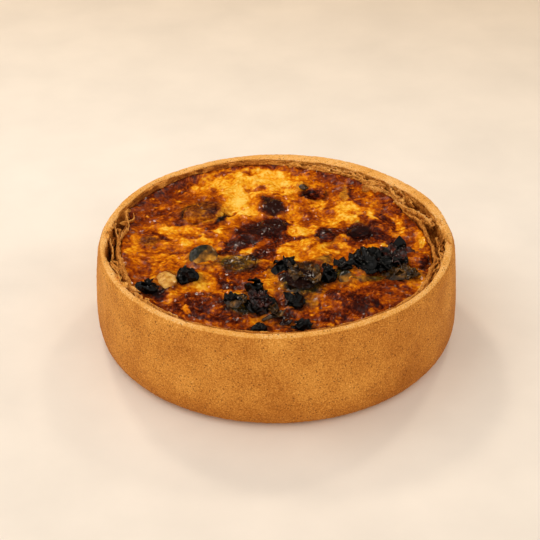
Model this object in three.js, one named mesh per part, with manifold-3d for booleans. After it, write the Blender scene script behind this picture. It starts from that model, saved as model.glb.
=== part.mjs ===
// Deep savoury tart in a free-standing pastry case: egg custard with roast vegetables and greens set in
// its top. Millimetres, +Z up, the origin at the middle of the flat underside, -Y towards the viewer.
import * as THREE from "three";
import { mergeVertices } from "three/addons/utils/BufferGeometryUtils.js";
import Module from "manifold-3d";

// Pastry case
const RIM_RADIUS = 100; // outside of the rim
const BASE_RADIUS = 102.4; // outside of the wall, just above the base
const HEIGHT = 58;
const BELLY = 1.4; // how far the wall bulges at half height
const HEEL = 8; // rounding where the wall meets the base
const RIM_ROUNDING = 4;
const FLOOR = 5; // pastry under the custard
const CAVITY_RADIUS = 93; // inside of the wall, well below the rim
const ROUND = 80; // sections round the tart

// Custard
const LEVEL = 51; // its top at rest against the pastry
const RINGS = 15; // rings of faces on its top
const GAP = 0.45; // clearance between the custard and the pastry
const ROOM = 0.6; // clearance round each topping, at its corners

// How the pastry stands at stations round the rim, in degrees from +X. The outer wall is `wall` thick at
// the rim. Inside it the layers have parted by `gap`, down to `depth`. The inner leaf of pastry is `leaf`
// thick and ends `drop` below the rim.
const STATIONS = [
  { at: 0, wall: 5.6, gap: 7.2, depth: 13, leaf: 2.4, drop: 2.4 },
  { at: 12, wall: 6.8, gap: 8.2, depth: 12, leaf: 2.6, drop: 2.2 },
  { at: 25, wall: 8, gap: 7, depth: 10, leaf: 4.2, drop: 2.4 },
  { at: 36, wall: 8.8, gap: 4, depth: 8, leaf: 4.4, drop: 2.2 },
  { at: 50, wall: 9.4, gap: 3, depth: 7, leaf: 3.6, drop: 2 },
  { at: 72, wall: 9.8, gap: 2.8, depth: 6, leaf: 3, drop: 2.2 },
  { at: 84, wall: 8.6, gap: 2.2, depth: 4, leaf: 3, drop: 2 },
  { at: 94, wall: 7.8, gap: 0.8, depth: 1.2, leaf: 1.8, drop: 2.4 },
  { at: 125, wall: 6.6, gap: 0.8, depth: 1, leaf: 1.6, drop: 3 },
  { at: 158, wall: 5.4, gap: 0.9, depth: 1.4, leaf: 1.4, drop: 2.2 },
  { at: 168, wall: 6, gap: 6.2, depth: 12, leaf: 1.6, drop: 1.4 },
  { at: 178, wall: 5.4, gap: 5.2, depth: 14, leaf: 2.6, drop: 2 },
  { at: 190, wall: 4.2, gap: 6, depth: 14, leaf: 3, drop: 2.4 },
  { at: 205, wall: 4.8, gap: 4.4, depth: 12, leaf: 3, drop: 3 },
  { at: 222, wall: 4.6, gap: 1.8, depth: 5, leaf: 1.8, drop: 2.6 },
  { at: 246, wall: 4.8, gap: 0.8, depth: 1.2, leaf: 1.2, drop: 3 },
  { at: 300, wall: 5, gap: 0.9, depth: 1.6, leaf: 1.4, drop: 3.2 },
  { at: 329, wall: 4.6, gap: 1.5, depth: 5, leaf: 2.8, drop: 2 },
  { at: 343, wall: 5.4, gap: 3.6, depth: 10, leaf: 2.4, drop: 1.8 },
  { at: 353, wall: 5.2, gap: 5.6, depth: 12, leaf: 2.4, drop: 2 },
];

// Thin webs of pastry that still join the parted layers, in degrees.
const WEBS = [13.5, 31.5, 45, 175.5, 198, 211.5, 346.5];
const WEB_SPREAD = 2.4;
const WEB_RISE = 0.7; // share of the groove's depth that a web fills

// Mounds and hollows of the custard's top: middle, half length and half width, height, turn in degrees.
const MOUNDS = [
  { x: -43, y: 33, long: 17, wide: 12, rise: 2.8, turn: 25 },
  { x: -3, y: 41, long: 9, wide: 9, rise: 2.6, turn: 0 },
  { x: -8, y: 10, long: 17, wide: 9, rise: 3, turn: 20 },
  { x: 54, y: 48, long: 15, wide: 10, rise: 3, turn: -50 },
  { x: -38, y: -62, long: 20, wide: 10, rise: 2.6, turn: -25 },
  { x: 43, y: -62, long: 23, wide: 12, rise: 3, turn: 20 },
  { x: -74, y: 3, long: 15, wide: 7, rise: 2, turn: 80 },
  { x: -12, y: 72, long: 30, wide: 9, rise: 2, turn: 0 },
  { x: 18, y: -5, long: 12, wide: 8, rise: 2, turn: 15 },
  { x: 68, y: 14, long: 11, wide: 7, rise: 2.2, turn: 70 },
  { x: 55, y: -20, long: 18, wide: 11, rise: 2, turn: 0 },
  { x: 8, y: -46, long: 26, wide: 14, rise: 2, turn: 0 },
  { x: -62, y: 52, long: 16, wide: 6, rise: -1.8, turn: 42 },
  { x: 22, y: 30, long: 12, wide: 7, rise: -1.4, turn: 0 },
];
const SWELL = { rise: 0.55, length: 26 }; // gentle unevenness over the whole top
const CURDS = { rise: 0.35, length: 11 };

// The custard climbs the pastry, most round the back, which is centred on this heading in degrees.
const CLIMB = { back: 3.4, front: 1.4, width: 9, heading: 112 };

const COLOURS = {
  pastry: "#c98a42",
  custard: "#c8741c",
  char: "#1d1b1a",
  greens: "#2f2a1c",
  courgette: "#57522c",
  potato: "#a8863f",
  roast: "#5a2a16",
};

// Lumps set in the custard: middle, half sizes in x, y and z, turn in degrees, and height of the middle
// above the custard.
const LUMPS = [
  { name: "charred_greens_left", of: "char", x: -48.5, y: -35.5, size: [5.8, 5.8, 4.7], turn: 15, lift: 0.8 },
  { name: "charred_greens_edge", of: "char", x: -69, y: -45.5, size: [6.3, 4.6, 3.6], turn: -15, lift: 1 },
  { name: "potato_piece_left", of: "potato", x: -59.5, y: -38, size: [5.8, 8.6, 3.8], turn: 10, lift: 0.8 },
  { name: "courgette_slice_back", of: "courgette", x: -42, y: 32, size: [13, 9, 5.8], turn: 28, lift: -1.6 },
  { name: "greens_clump_centre", of: "greens", x: 13, y: -39.5, size: [9.6, 10.5, 3.2], turn: -10, lift: 0 },
  { name: "charred_knob_centre", of: "char", x: 28.5, y: -35.5, size: [4.9, 5.2, 4.2], turn: 0, lift: 1 },
  { name: "roast_clump_right", of: "roast", x: 77, y: -20.5, size: [7, 9, 4], turn: 10, lift: 0.6 },
  { name: "charred_bulb_front", of: "char", x: -8.5, y: -63, size: [8.4, 6.8, 4.4], turn: 10, lift: 0.3 },
  { name: "flake_front", of: "char", x: -12, y: -50.5, size: [4.4, 4.8, 5.2], turn: 10, lift: 1 },
  { name: "charred_greens_front", of: "char", x: 9.5, y: -62.5, size: [4.5, 6, 4.6], turn: 8, lift: 1 },
  { name: "charred_chip_front", of: "char", x: -9.5, y: -84, size: [4, 2.8, 2.8], turn: 0, lift: 0.6 },
  { name: "charred_chip_rim", of: "char", x: 12.5, y: -83, size: [5.4, 2.9, 3.2], turn: 8, lift: 0.6 },
  { name: "roast_piece_back", of: "roast", x: 24, y: 58, size: [6.6, 6.2, 4], turn: 20, lift: 0.6 },
  { name: "roast_knob_small", of: "roast", x: 28.5, y: 6.5, size: [5.6, 5.6, 4.8], turn: 0, lift: 1.2 },
  { name: "roast_knob_large", of: "roast", x: 47.5, y: 10.5, size: [6.6, 6.4, 5.6], turn: 0, lift: 1.2 },
];
const CRAG = { char: 0.22, greens: 0.17, roast: 0.15, potato: 0.1, courgette: 0.06 }; // share of the size
const CRAG_LENGTH = 1.5; // length of the crags as a share of the size
const SMALL_LUMP = 6.3; // a lump no larger than this takes fewer faces

// Slices of courgette: middle, half length, half width and thickness, height of the middle above the
// custard, turn, and how far the back edge and the left edge are raised, in degrees.
const SLICES = [
  {
    name: "courgette_slice_left", x: -40.5, y: -14, size: [9.4, 8.4, 3.6],
    lift: 1.2, turn: 60, raised: [20, 8],
  },
  {
    name: "courgette_slice_sunk", x: -20.5, y: -19.5, size: [10, 7.8, 3.2],
    lift: 0.2, turn: 10, raised: [8, -4],
  },
  {
    name: "courgette_wedge_centre", x: 37, y: -37.5, size: [5.4, 4, 3.2],
    lift: 0.8, turn: 70, raised: [18, 0],
  },
];

// Leaves: root and tip, each with its height above the custard, full width, the heading of the width in
// degrees, and how far the middle arches up.
const LEAVES = [
  {
    name: "leaf_large", of: "char", wide: 25, heading: 104, arch: 3,
    root: [40.5, -28, -0.4], tip: [71, -16, 3],
  },
  {
    name: "leaf_centre", of: "char", wide: 8.4, heading: 130, arch: 1.6,
    root: [-4, -34, -1.8], tip: [10, -19, 5],
  },
  {
    name: "leaf_hooked", of: "char", wide: 7, heading: 50, arch: 3,
    root: [33.5, -25, -1], tip: [41.5, -30, 2.4],
  },
  {
    name: "leaf_tip_right", of: "char", wide: 8, heading: 10, arch: 0.6,
    root: [69.5, -7.5, -2], tip: [69.2, -3, 6.6],
  },
  {
    name: "leaf_right_front", of: "greens", wide: 9, heading: 96, arch: 3.2,
    root: [56, -37.5, -1], tip: [80, -34, 1],
  },
  {
    name: "leaf_front_left", of: "greens", wide: 11, heading: 140, arch: 2.6,
    root: [-27, -68, -1], tip: [-16.5, -56.5, 4],
  },
  {
    name: "shred_front", of: "greens", wide: 4, heading: 90, arch: 1.6,
    root: [-9, -74.5, -1], tip: [2.5, -73, 1.6],
  },
  {
    name: "leaf_back", of: "greens", wide: 4.6, heading: 48, arch: 1,
    root: [13.5, 67.5, -0.6], tip: [20, 60.5, 2.2],
  },
  {
    name: "leaf_rim_front", of: "roast", wide: 4.4, heading: 100, arch: 1.2,
    root: [0, -80.5, -0.8], tip: [8, -78.5, 1.6],
  },
];
const LEAF_THICK = 1.2;
const LEAF_BASE = 0.12; // width of a leaf's ends as a share of its full width
const WIDE_LEAF = 12; // a leaf wider than this takes more faces
const CRUMPLE = { rise: 0.07, length: 9 }; // rise as a share of the leaf's width

const { degToRad, smoothstep, lerp, euclideanModulo } = THREE.MathUtils;
const TURN = 2 * Math.PI;

const wasm = await Module();
wasm.setup();

// A repeatable uneven number from 0 to 1 for each whole number.
function chance(n) {
  const s = Math.sin(n * 127.1 + 11.7) * 43758.5453;
  return s - Math.floor(s);
}

// A closed uneven wave round the rim, about -1 to 1, of the whole-number waves lowest to highest.
function ripple(angle, seed, lowest, highest) {
  let sum = 0;
  for (let k = lowest; k <= highest; k++) {
    sum += Math.sin(k * angle + TURN * chance(seed * 37 + k));
  }
  return sum / Math.sqrt(highest - lowest + 1);
}

// Uneven waves over the plan, about -1 to 1, of the given length in millimetres.
function waves(x, y, length, seed) {
  const COUNT = 5;
  let sum = 0;
  for (let k = 0; k < COUNT; k++) {
    const heading = TURN * chance(seed * 53 + k);
    const step = length * (0.7 + 0.6 * chance(seed * 53 + k + 20));
    const along = x * Math.cos(heading) + y * Math.sin(heading);
    sum += Math.sin((TURN * along) / step + TURN * chance(seed * 53 + k + 40));
  }
  return sum / Math.sqrt(COUNT);
}

// The pastry's section values at an angle, blended between its two stations.
function stationAt(angle) {
  const degrees = euclideanModulo((angle * 360) / TURN, 360);
  const next = STATIONS.findIndex((s) => s.at > degrees);
  const to = STATIONS[next < 0 ? 0 : next];
  const from = STATIONS.at(next < 0 ? -1 : next - 1);
  const span = euclideanModulo(to.at - from.at, 360);
  const share = smoothstep(euclideanModulo(degrees - from.at, 360), 0, span);
  const blend = (key) => lerp(from[key], to[key], share);
  const web = WEBS.reduce((most, at) => {
    const off = euclideanModulo(degrees - at + 180, 360) - 180;
    return Math.max(most, Math.exp(-((off / WEB_SPREAD) ** 2)));
  }, 0);
  return {
    wall: blend("wall"),
    gap: blend("gap"),
    depth: Math.max(1, blend("depth") * (1 - WEB_RISE * web)),
    leaf: blend("leaf"),
    drop: blend("drop"),
  };
}

// Outside of the wall at a height.
function wallRadius(z) {
  const up = z / HEIGHT;
  return lerp(BASE_RADIUS, RIM_RADIUS, up) + BELLY * Math.sin(Math.PI * up);
}

// The inside of the pastry at an angle, from the leaf's top down to the floor, as [radius, z] pairs.
function innerFace(angle) {
  const s = stationAt(angle);
  const mouth = RIM_RADIUS - s.wall - s.gap - s.leaf;
  const ragged = 0.5 * ripple(angle, 5, 9, 16);
  const brink = HEIGHT - s.drop - 0.9 + 0.5 * ripple(angle, 7, 14, 30);
  return [
    [mouth + ragged, brink],
    [mouth + 0.6, LEVEL - 2],
    [lerp(mouth, CAVITY_RADIUS, 0.7), 39],
    [CAVITY_RADIUS, 24],
    [CAVITY_RADIUS - 2, FLOOR + 5],
    [CAVITY_RADIUS - 7, FLOOR],
  ];
}

// One radial section through the pastry case, from the middle of the base round to the floor's middle.
function crustSection(angle) {
  const s = stationAt(angle);
  const top = HEIGHT - 0.6 + 0.3 * ripple(angle, 3, 2, 9);
  const bulge = 0.25 * ripple(angle, 4, 3, 8);
  const wallInside = RIM_RADIUS - s.wall + 0.4 * ripple(angle, 6, 8, 15);
  const inside = innerFace(angle);
  const [mouth, brink] = inside[0];
  const leafOutside = Math.min(mouth + s.leaf, wallInside - 0.7);
  const bottom = top - s.depth;
  const bottomWidth = 0.35 * (wallInside - leafOutside);
  const bottomOutside = wallInside - 0.2 * (wallInside - leafOutside);
  const section = [
    [0, 0],
    [BASE_RADIUS - HEEL, 0],
    [BASE_RADIUS - HEEL + HEEL * Math.sin(degToRad(35)), HEEL * (1 - Math.cos(degToRad(35)))],
    [BASE_RADIUS - HEEL + HEEL * Math.sin(degToRad(65)), HEEL * (1 - Math.cos(degToRad(65)))],
    [wallRadius(HEEL + 2) + bulge, HEEL + 2],
    [wallRadius(22) + bulge, 22],
    [wallRadius(38) + bulge, 38],
    [wallRadius(top - RIM_ROUNDING), top - RIM_ROUNDING],
    [RIM_RADIUS - 0.9, top - 1.4],
    [RIM_RADIUS - 2.3, top - 0.1],
    [wallInside + 1, top - 0.1],
    [wallInside, top - 0.9],
    [bottomOutside, bottom],
    [bottomOutside - bottomWidth, bottom],
    [leafOutside, Math.max(brink, bottom + 0.3)],
    [lerp(leafOutside, mouth, 0.5), Math.max(brink, bottom + 0.3) + 0.7],
  ];
  return [...section, ...inside, [0, FLOOR]];
}

// Height of the custard's top over the plan, without its pockets.
function custardTop(x, y) {
  const reach = Math.hypot(x, y) / CAVITY_RADIUS;
  const settle = 1 - smoothstep(reach, 0.86, 1); // mounds die out towards the pastry
  let z = SWELL.rise * waves(x, y, SWELL.length, 1) + CURDS.rise * waves(x, y, CURDS.length, 2);
  for (const m of MOUNDS) {
    const turn = degToRad(m.turn);
    const along = (x - m.x) * Math.cos(turn) + (y - m.y) * Math.sin(turn);
    const across = (y - m.y) * Math.cos(turn) - (x - m.x) * Math.sin(turn);
    z += m.rise * Math.exp(-((along / m.long) ** 2) - (across / m.wide) ** 2);
  }
  return LEVEL + z * lerp(0.35, 1, settle) + climbAt(x, y);
}

// How far the custard has climbed towards the pastry at a place on the plan.
function climbAt(x, y) {
  const angle = Math.atan2(y, x);
  const off = euclideanModulo((angle * 360) / TURN - CLIMB.heading + 180, 360) - 180;
  const back = smoothstep(95 - Math.abs(off), 0, 45);
  const [mouth] = innerFace(angle)[1];
  const near = 1 - smoothstep(mouth - Math.hypot(x, y), 0, CLIMB.width);
  return lerp(CLIMB.front, CLIMB.back, back) * near ** 2;
}

// One radial section through the custard, from the middle of its top round to its underside's middle. It
// runs down the side as the pastry's does, so that the faces of both are split alike.
function custardSection(angle) {
  const side = innerFace(angle).slice(1);
  const clear = side.map(([r, z]) => [r - GAP, z > FLOOR ? z : z + GAP]);
  const edge = clear[0][0] - 1.1;
  const section = [];
  for (let k = 0; k <= RINGS; k++) {
    const r = (edge * k) / RINGS;
    section.push([r, custardTop(r * Math.cos(angle), r * Math.sin(angle))]);
  }
  return [...section, ...clear, [0, FLOOR + GAP]];
}

// A body turned about Z whose section changes with the angle. The section runs up the outside of the
// body, or down it if `downward` is true.
function turned(sectionAt, downward = false) {
  const template = sectionAt(0).map(([r, z]) => new THREE.Vector2(r, z));
  const geometry = new THREE.LatheGeometry(template, ROUND);
  const position = geometry.attributes.position;
  for (let i = 0; i <= ROUND; i++) {
    const angle = (TURN * (i % ROUND)) / ROUND;
    sectionAt(angle).forEach(([r, z], j) => {
      const at = i * template.length + j;
      position.setXYZ(at, r * Math.cos(angle), r * Math.sin(angle), z);
    });
  }
  if (downward) {
    const faces = geometry.index.array;
    for (let i = 0; i < faces.length; i += 3) {
      [faces[i], faces[i + 1]] = [faces[i + 1], faces[i]];
    }
  }
  return geometry;
}

// A craggy lump.
function lumpGeometry(lump, index) {
  const detail = Math.max(...lump.size) > SMALL_LUMP ? 2 : 1;
  const geometry = new THREE.IcosahedronGeometry(1, detail);
  const position = geometry.attributes.position;
  const [long, wide, high] = lump.size;
  const direction = new THREE.Vector3();
  for (let i = 0; i < position.count; i++) {
    direction.fromBufferAttribute(position, i);
    const { x, y, z } = direction;
    const bumps = waves(x + 0.6 * z, y - 0.5 * z, CRAG_LENGTH, 60 + index);
    const reach = 1 + CRAG[lump.of] * bumps;
    position.setXYZ(i, x * long * reach, y * wide * reach, z * high * reach);
  }
  geometry.rotateZ(degToRad(lump.turn));
  const z = custardTop(lump.x, lump.y) + lump.lift;
  return geometry.translate(lump.x, lump.y, z);
}

// A cut slice with a slightly rounded edge, tilted in the custard.
function sliceGeometry(slice) {
  const SIDES = 16;
  const [long, wide, thick] = slice.size;
  const [back, left] = slice.raised;
  const half = thick / 2;
  const profile = [
    new THREE.Vector2(0, -half),
    new THREE.Vector2(0.86, -half),
    new THREE.Vector2(1, 0),
    new THREE.Vector2(0.86, half),
    new THREE.Vector2(0, half),
  ];
  const geometry = new THREE.LatheGeometry(profile, SIDES);
  geometry.rotateX(Math.PI / 2);
  geometry.scale(long, wide, 1);
  geometry.rotateZ(degToRad(slice.turn));
  geometry.rotateX(degToRad(back));
  geometry.rotateY(degToRad(left));
  const z = custardTop(slice.x, slice.y) + slice.lift;
  return geometry.translate(slice.x, slice.y, z);
}

// A thin wavy leaf: one grid of faces above, the same grid below, and an edge between them.
function leafGeometry(leaf, index) {
  const along = leaf.wide > WIDE_LEAF ? 10 : 7;
  const across = leaf.wide > WIDE_LEAF ? 7 : 2;
  const root = new THREE.Vector3(...leaf.root);
  const tip = new THREE.Vector3(...leaf.tip);
  root.z += custardTop(root.x, root.y);
  tip.z += custardTop(tip.x, tip.y);
  const spine = tip.clone().sub(root);
  const length = spine.length();
  spine.normalize();
  const heading = degToRad(leaf.heading);
  const side = new THREE.Vector3(Math.cos(heading), Math.sin(heading), 0);
  side.addScaledVector(spine, -side.dot(spine)).normalize();
  const face = spine.clone().cross(side);
  const upward = face.z < 0 ? -1 : 1;
  face.multiplyScalar(upward);
  side.multiplyScalar(upward);

  // Middle surface at u from 0 to 1 along the leaf and v from -1 to 1 across it.
  function middle(u, v) {
    const shape = Math.sin(Math.PI * u ** 0.85) ** 0.7;
    const half = (leaf.wide / 2) * lerp(LEAF_BASE, 1, shape) * (1 + 0.1 * waves(8 * u, v, 5, index + 30));
    const bow = Math.sin(Math.PI * u) ** 1.6;
    const lift = leaf.arch * bow * (1 - 0.45 * v * v);
    const crumple = waves(length * u, half * v, CRUMPLE.length, index + 80);
    return root
      .clone()
      .addScaledVector(spine, u * length)
      .addScaledVector(side, v * half)
      .addScaledVector(face, lift + CRUMPLE.rise * leaf.wide * bow * crumple);
  }
  const grid = new THREE.PlaneGeometry(1, 1, along, across);
  const uv = grid.attributes.uv;
  const count = uv.count;
  const points = [];
  for (const lay of [1, -1]) {
    for (let i = 0; i < count; i++) {
      const point = middle(uv.getX(i), 2 * uv.getY(i) - 1);
      points.push(...point.addScaledVector(face, (lay * LEAF_THICK) / 2));
    }
  }
  const above = Array.from(grid.index.array);
  const below = [];
  for (let i = 0; i < above.length; i += 3) {
    below.push(above[i + 2] + count, above[i + 1] + count, above[i] + count);
  }
  const edge = [];
  const border = borderOf(along, across);
  border.forEach((a, i) => {
    const b = border[(i + 1) % border.length];
    edge.push(a, a + count, b, b, a + count, b + count);
  });
  const geometry = new THREE.BufferGeometry();
  geometry.setAttribute("position", new THREE.Float32BufferAttribute(points, 3));
  return geometry.setIndex([...above, ...below, ...edge]);
}

// Vertex numbers round a plane grid's border, in the order in which its faces turn.
function borderOf(along, across) {
  const row = along + 1;
  const border = [];
  for (let j = 0; j < across; j++) border.push(j * row);
  for (let i = 0; i < along; i++) border.push(across * row + i);
  for (let j = across; j > 0; j--) border.push(j * row + along);
  for (let i = along; i > 0; i--) border.push(i);
  return border;
}

// A geometry with only its positions, shared by the faces that meet there.
function mergedOf(geometry) {
  const bare = geometry.clone();
  bare.deleteAttribute("normal");
  bare.deleteAttribute("uv");
  return mergeVertices(bare, 1e-4);
}

// A geometry with every vertex moved outwards, for the room that a piece needs.
function grownBy(geometry, distance) {
  const merged = mergedOf(geometry);
  merged.computeVertexNormals();
  const { position, normal } = merged.attributes;
  for (let i = 0; i < position.count; i++) {
    const x = position.getX(i) + distance * normal.getX(i);
    const y = position.getY(i) + distance * normal.getY(i);
    const z = position.getZ(i) + distance * normal.getZ(i);
    position.setXYZ(i, x, y, z);
  }
  return merged;
}

// A geometry as a manifold solid with shared vertices.
function solidOf(geometry) {
  const merged = mergedOf(geometry);
  return new wasm.Manifold(
    new wasm.Mesh({
      numProp: 3,
      vertProperties: merged.attributes.position.array,
      triVerts: new Uint32Array(merged.index.array),
    }),
  );
}

// The largest body of a solid, without crumbs that a cut left loose.
function largestOf(solid) {
  return solid.decompose().reduce((best, s) => (s.volume() > best.volume() ? s : best));
}

// A manifold solid back as a three.js geometry.
function geometryOf(solid) {
  const mesh = solid.getMesh();
  const geometry = new THREE.BufferGeometry();
  const position = new THREE.Float32BufferAttribute(mesh.vertProperties, 3);
  geometry.setAttribute("position", position);
  geometry.setIndex(new THREE.BufferAttribute(mesh.triVerts, 1));
  geometry.computeVertexNormals();
  return geometry;
}

function addNode(group, name, geometry, colour, roughness) {
  const material = new THREE.MeshStandardMaterial({ color: colour, roughness, metalness: 0 });
  const mesh = new THREE.Mesh(geometry, material);
  mesh.name = name;
  group.add(mesh);
}

const toppings = [
  ...SLICES.map((s) => ({ ...s, of: "courgette", make: sliceGeometry })),
  ...LUMPS.map((s) => ({ ...s, make: lumpGeometry })),
  ...LEAVES.map((s) => ({ ...s, make: leafGeometry })),
];

const quiche = new THREE.Group();
addNode(quiche, "pastry_case", turned(crustSection), COLOURS.pastry, 0.8);

// Each topping keeps clear of those before it, and the custard has a pocket for each.
let custard = solidOf(turned(custardSection, true));
const crustRoom = solidOf(grownBy(turned(crustSection), ROOM));
const placed = [];
toppings.forEach((topping, index) => {
  const geometry = topping.make(topping, index);
  const room = solidOf(grownBy(geometry, ROOM));
  let solid = solidOf(geometry).subtract(crustRoom);
  for (const other of placed) solid = solid.subtract(other);
  solid = largestOf(solid);
  placed.push(room);
  custard = custard.subtract(room);
  addNode(quiche, topping.name, geometryOf(solid), COLOURS[topping.of], 0.45);
});
addNode(quiche, "custard_filling", geometryOf(largestOf(custard)), COLOURS.custard, 0.4);

export default quiche;
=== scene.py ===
"""Deep round quiche in a free-standing flaky pastry case, with a browned custard top and roast vegetables.

The file is laid out as an add-on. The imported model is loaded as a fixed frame, each operator makes one
piece or a group of like pieces round it, and main() calls them in order.
"""
import math

import bpy
import numpy as np
from mathutils import Matrix, Vector


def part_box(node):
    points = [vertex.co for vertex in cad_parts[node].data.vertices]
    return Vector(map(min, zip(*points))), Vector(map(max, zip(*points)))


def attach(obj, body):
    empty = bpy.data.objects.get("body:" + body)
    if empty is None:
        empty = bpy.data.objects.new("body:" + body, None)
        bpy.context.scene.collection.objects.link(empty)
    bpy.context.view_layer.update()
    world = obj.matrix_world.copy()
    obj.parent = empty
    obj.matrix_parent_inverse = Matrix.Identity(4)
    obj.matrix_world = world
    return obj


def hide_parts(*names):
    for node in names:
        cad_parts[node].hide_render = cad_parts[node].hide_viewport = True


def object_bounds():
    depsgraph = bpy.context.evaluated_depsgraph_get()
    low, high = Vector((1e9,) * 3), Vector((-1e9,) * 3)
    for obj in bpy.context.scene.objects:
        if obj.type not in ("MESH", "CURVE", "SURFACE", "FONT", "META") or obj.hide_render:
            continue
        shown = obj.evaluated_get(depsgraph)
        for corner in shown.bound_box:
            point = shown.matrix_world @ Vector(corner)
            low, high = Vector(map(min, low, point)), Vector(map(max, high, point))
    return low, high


bl_info = {
    "name": "Quiche",
    "version": (1, 0, 0),
    "blender": (4, 5, 0),
    "location": "View3D > Sidebar > Quiche",
    "description": "Builds a deep round quiche with a browned top round its packed solid model",
    "category": "Object",
}

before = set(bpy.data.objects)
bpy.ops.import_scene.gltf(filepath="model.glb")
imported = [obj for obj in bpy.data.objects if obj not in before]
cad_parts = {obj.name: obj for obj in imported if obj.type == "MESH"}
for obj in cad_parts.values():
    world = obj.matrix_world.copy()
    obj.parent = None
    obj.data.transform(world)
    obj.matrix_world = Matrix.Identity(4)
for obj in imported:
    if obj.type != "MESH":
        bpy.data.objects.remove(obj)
CAD_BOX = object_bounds()

MM = 0.001
TURN = 2 * math.pi

# Pastry case and custard, in millimetres, as the solid model has them.
RIM_RADIUS = 100.0
BASE_RADIUS = 102.4
HEIGHT = 58.0
BELLY = 1.4
HEEL = 8.0
RIM_ROUNDING = 4.0
FLOOR = 5.0
CAVITY_RADIUS = 93.0
LEVEL = 51.0
TOP = CAD_BOX[1][2] / MM - 0.1
ABOVE = 90.0  # height from which scattered pieces are dropped

# How the pastry stands at stations round the rim: degrees from +X, wall, gap, depth, leaf and drop.
STATIONS = np.array([
    (0, 5.6, 7.2, 13, 2.4, 2.4),
    (12, 6.8, 8.2, 12, 2.6, 2.2),
    (25, 8, 7, 10, 4.2, 2.4),
    (36, 8.8, 4, 8, 4.4, 2.2),
    (50, 9.4, 3, 7, 3.6, 2),
    (72, 9.8, 2.8, 6, 3, 2.2),
    (84, 8.6, 2.2, 4, 3, 2),
    (94, 7.8, 0.8, 1.2, 1.8, 2.4),
    (125, 6.6, 0.8, 1, 1.6, 3),
    (158, 5.4, 0.9, 1.4, 1.4, 2.2),
    (168, 6, 6.2, 12, 1.6, 1.4),
    (178, 5.4, 5.2, 14, 2.6, 2),
    (190, 4.2, 6, 14, 3, 2.4),
    (205, 4.8, 4.4, 12, 3, 3),
    (222, 4.6, 1.8, 5, 1.8, 2.6),
    (246, 4.8, 0.8, 1.2, 1.2, 3),
    (300, 5, 0.9, 1.6, 1.4, 3.2),
    (329, 4.6, 1.5, 5, 2.8, 2),
    (343, 5.4, 3.6, 10, 2.4, 1.8),
    (353, 5.2, 5.6, 12, 2.4, 2),
])
WEBS = (13.5, 31.5, 45, 175.5, 198, 211.5, 346.5)
WEB_SPREAD = 2.4
WEB_RISE = 0.7

# Mounds and hollows of the custard: middle, half length, half width, rise and turn in degrees.
MOUNDS = (
    (-43, 33, 17, 12, 2.8, 25),
    (-3, 41, 9, 9, 2.6, 0),
    (-8, 10, 17, 9, 3, 20),
    (54, 48, 15, 10, 3, -50),
    (-38, -62, 20, 10, 2.6, -25),
    (43, -62, 23, 12, 3, 20),
    (-74, 3, 15, 7, 2, 80),
    (-12, 72, 30, 9, 2, 0),
    (18, -5, 12, 8, 2, 15),
    (68, 14, 11, 7, 2.2, 70),
    (55, -20, 18, 11, 2, 0),
    (8, -46, 26, 14, 2, 0),
    (-62, 52, 16, 6, -1.8, 42),
    (22, 30, 12, 7, -1.4, 0),
)

# The custard climbs the pastry, most round the back, which is centred on this heading in degrees.
CLIMB = {"back": 3.4, "front": 1.4, "width": 9.0, "heading": 112.0}
DARK_INSIDE = {"heading": 138.0, "reach": 46.0}  # where the inside of the rim is darkest, in patches, in degrees
SHADED_SIDE = {"heading": 318.0, "reach": 40.0, "toast": 0.07}  # painted shade: where the outside of the wall is painted a little darker, on its less lit side
LEAN = 1.57  # how far back a patch slides for each millimetre of height, on the slopes that face the front

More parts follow.
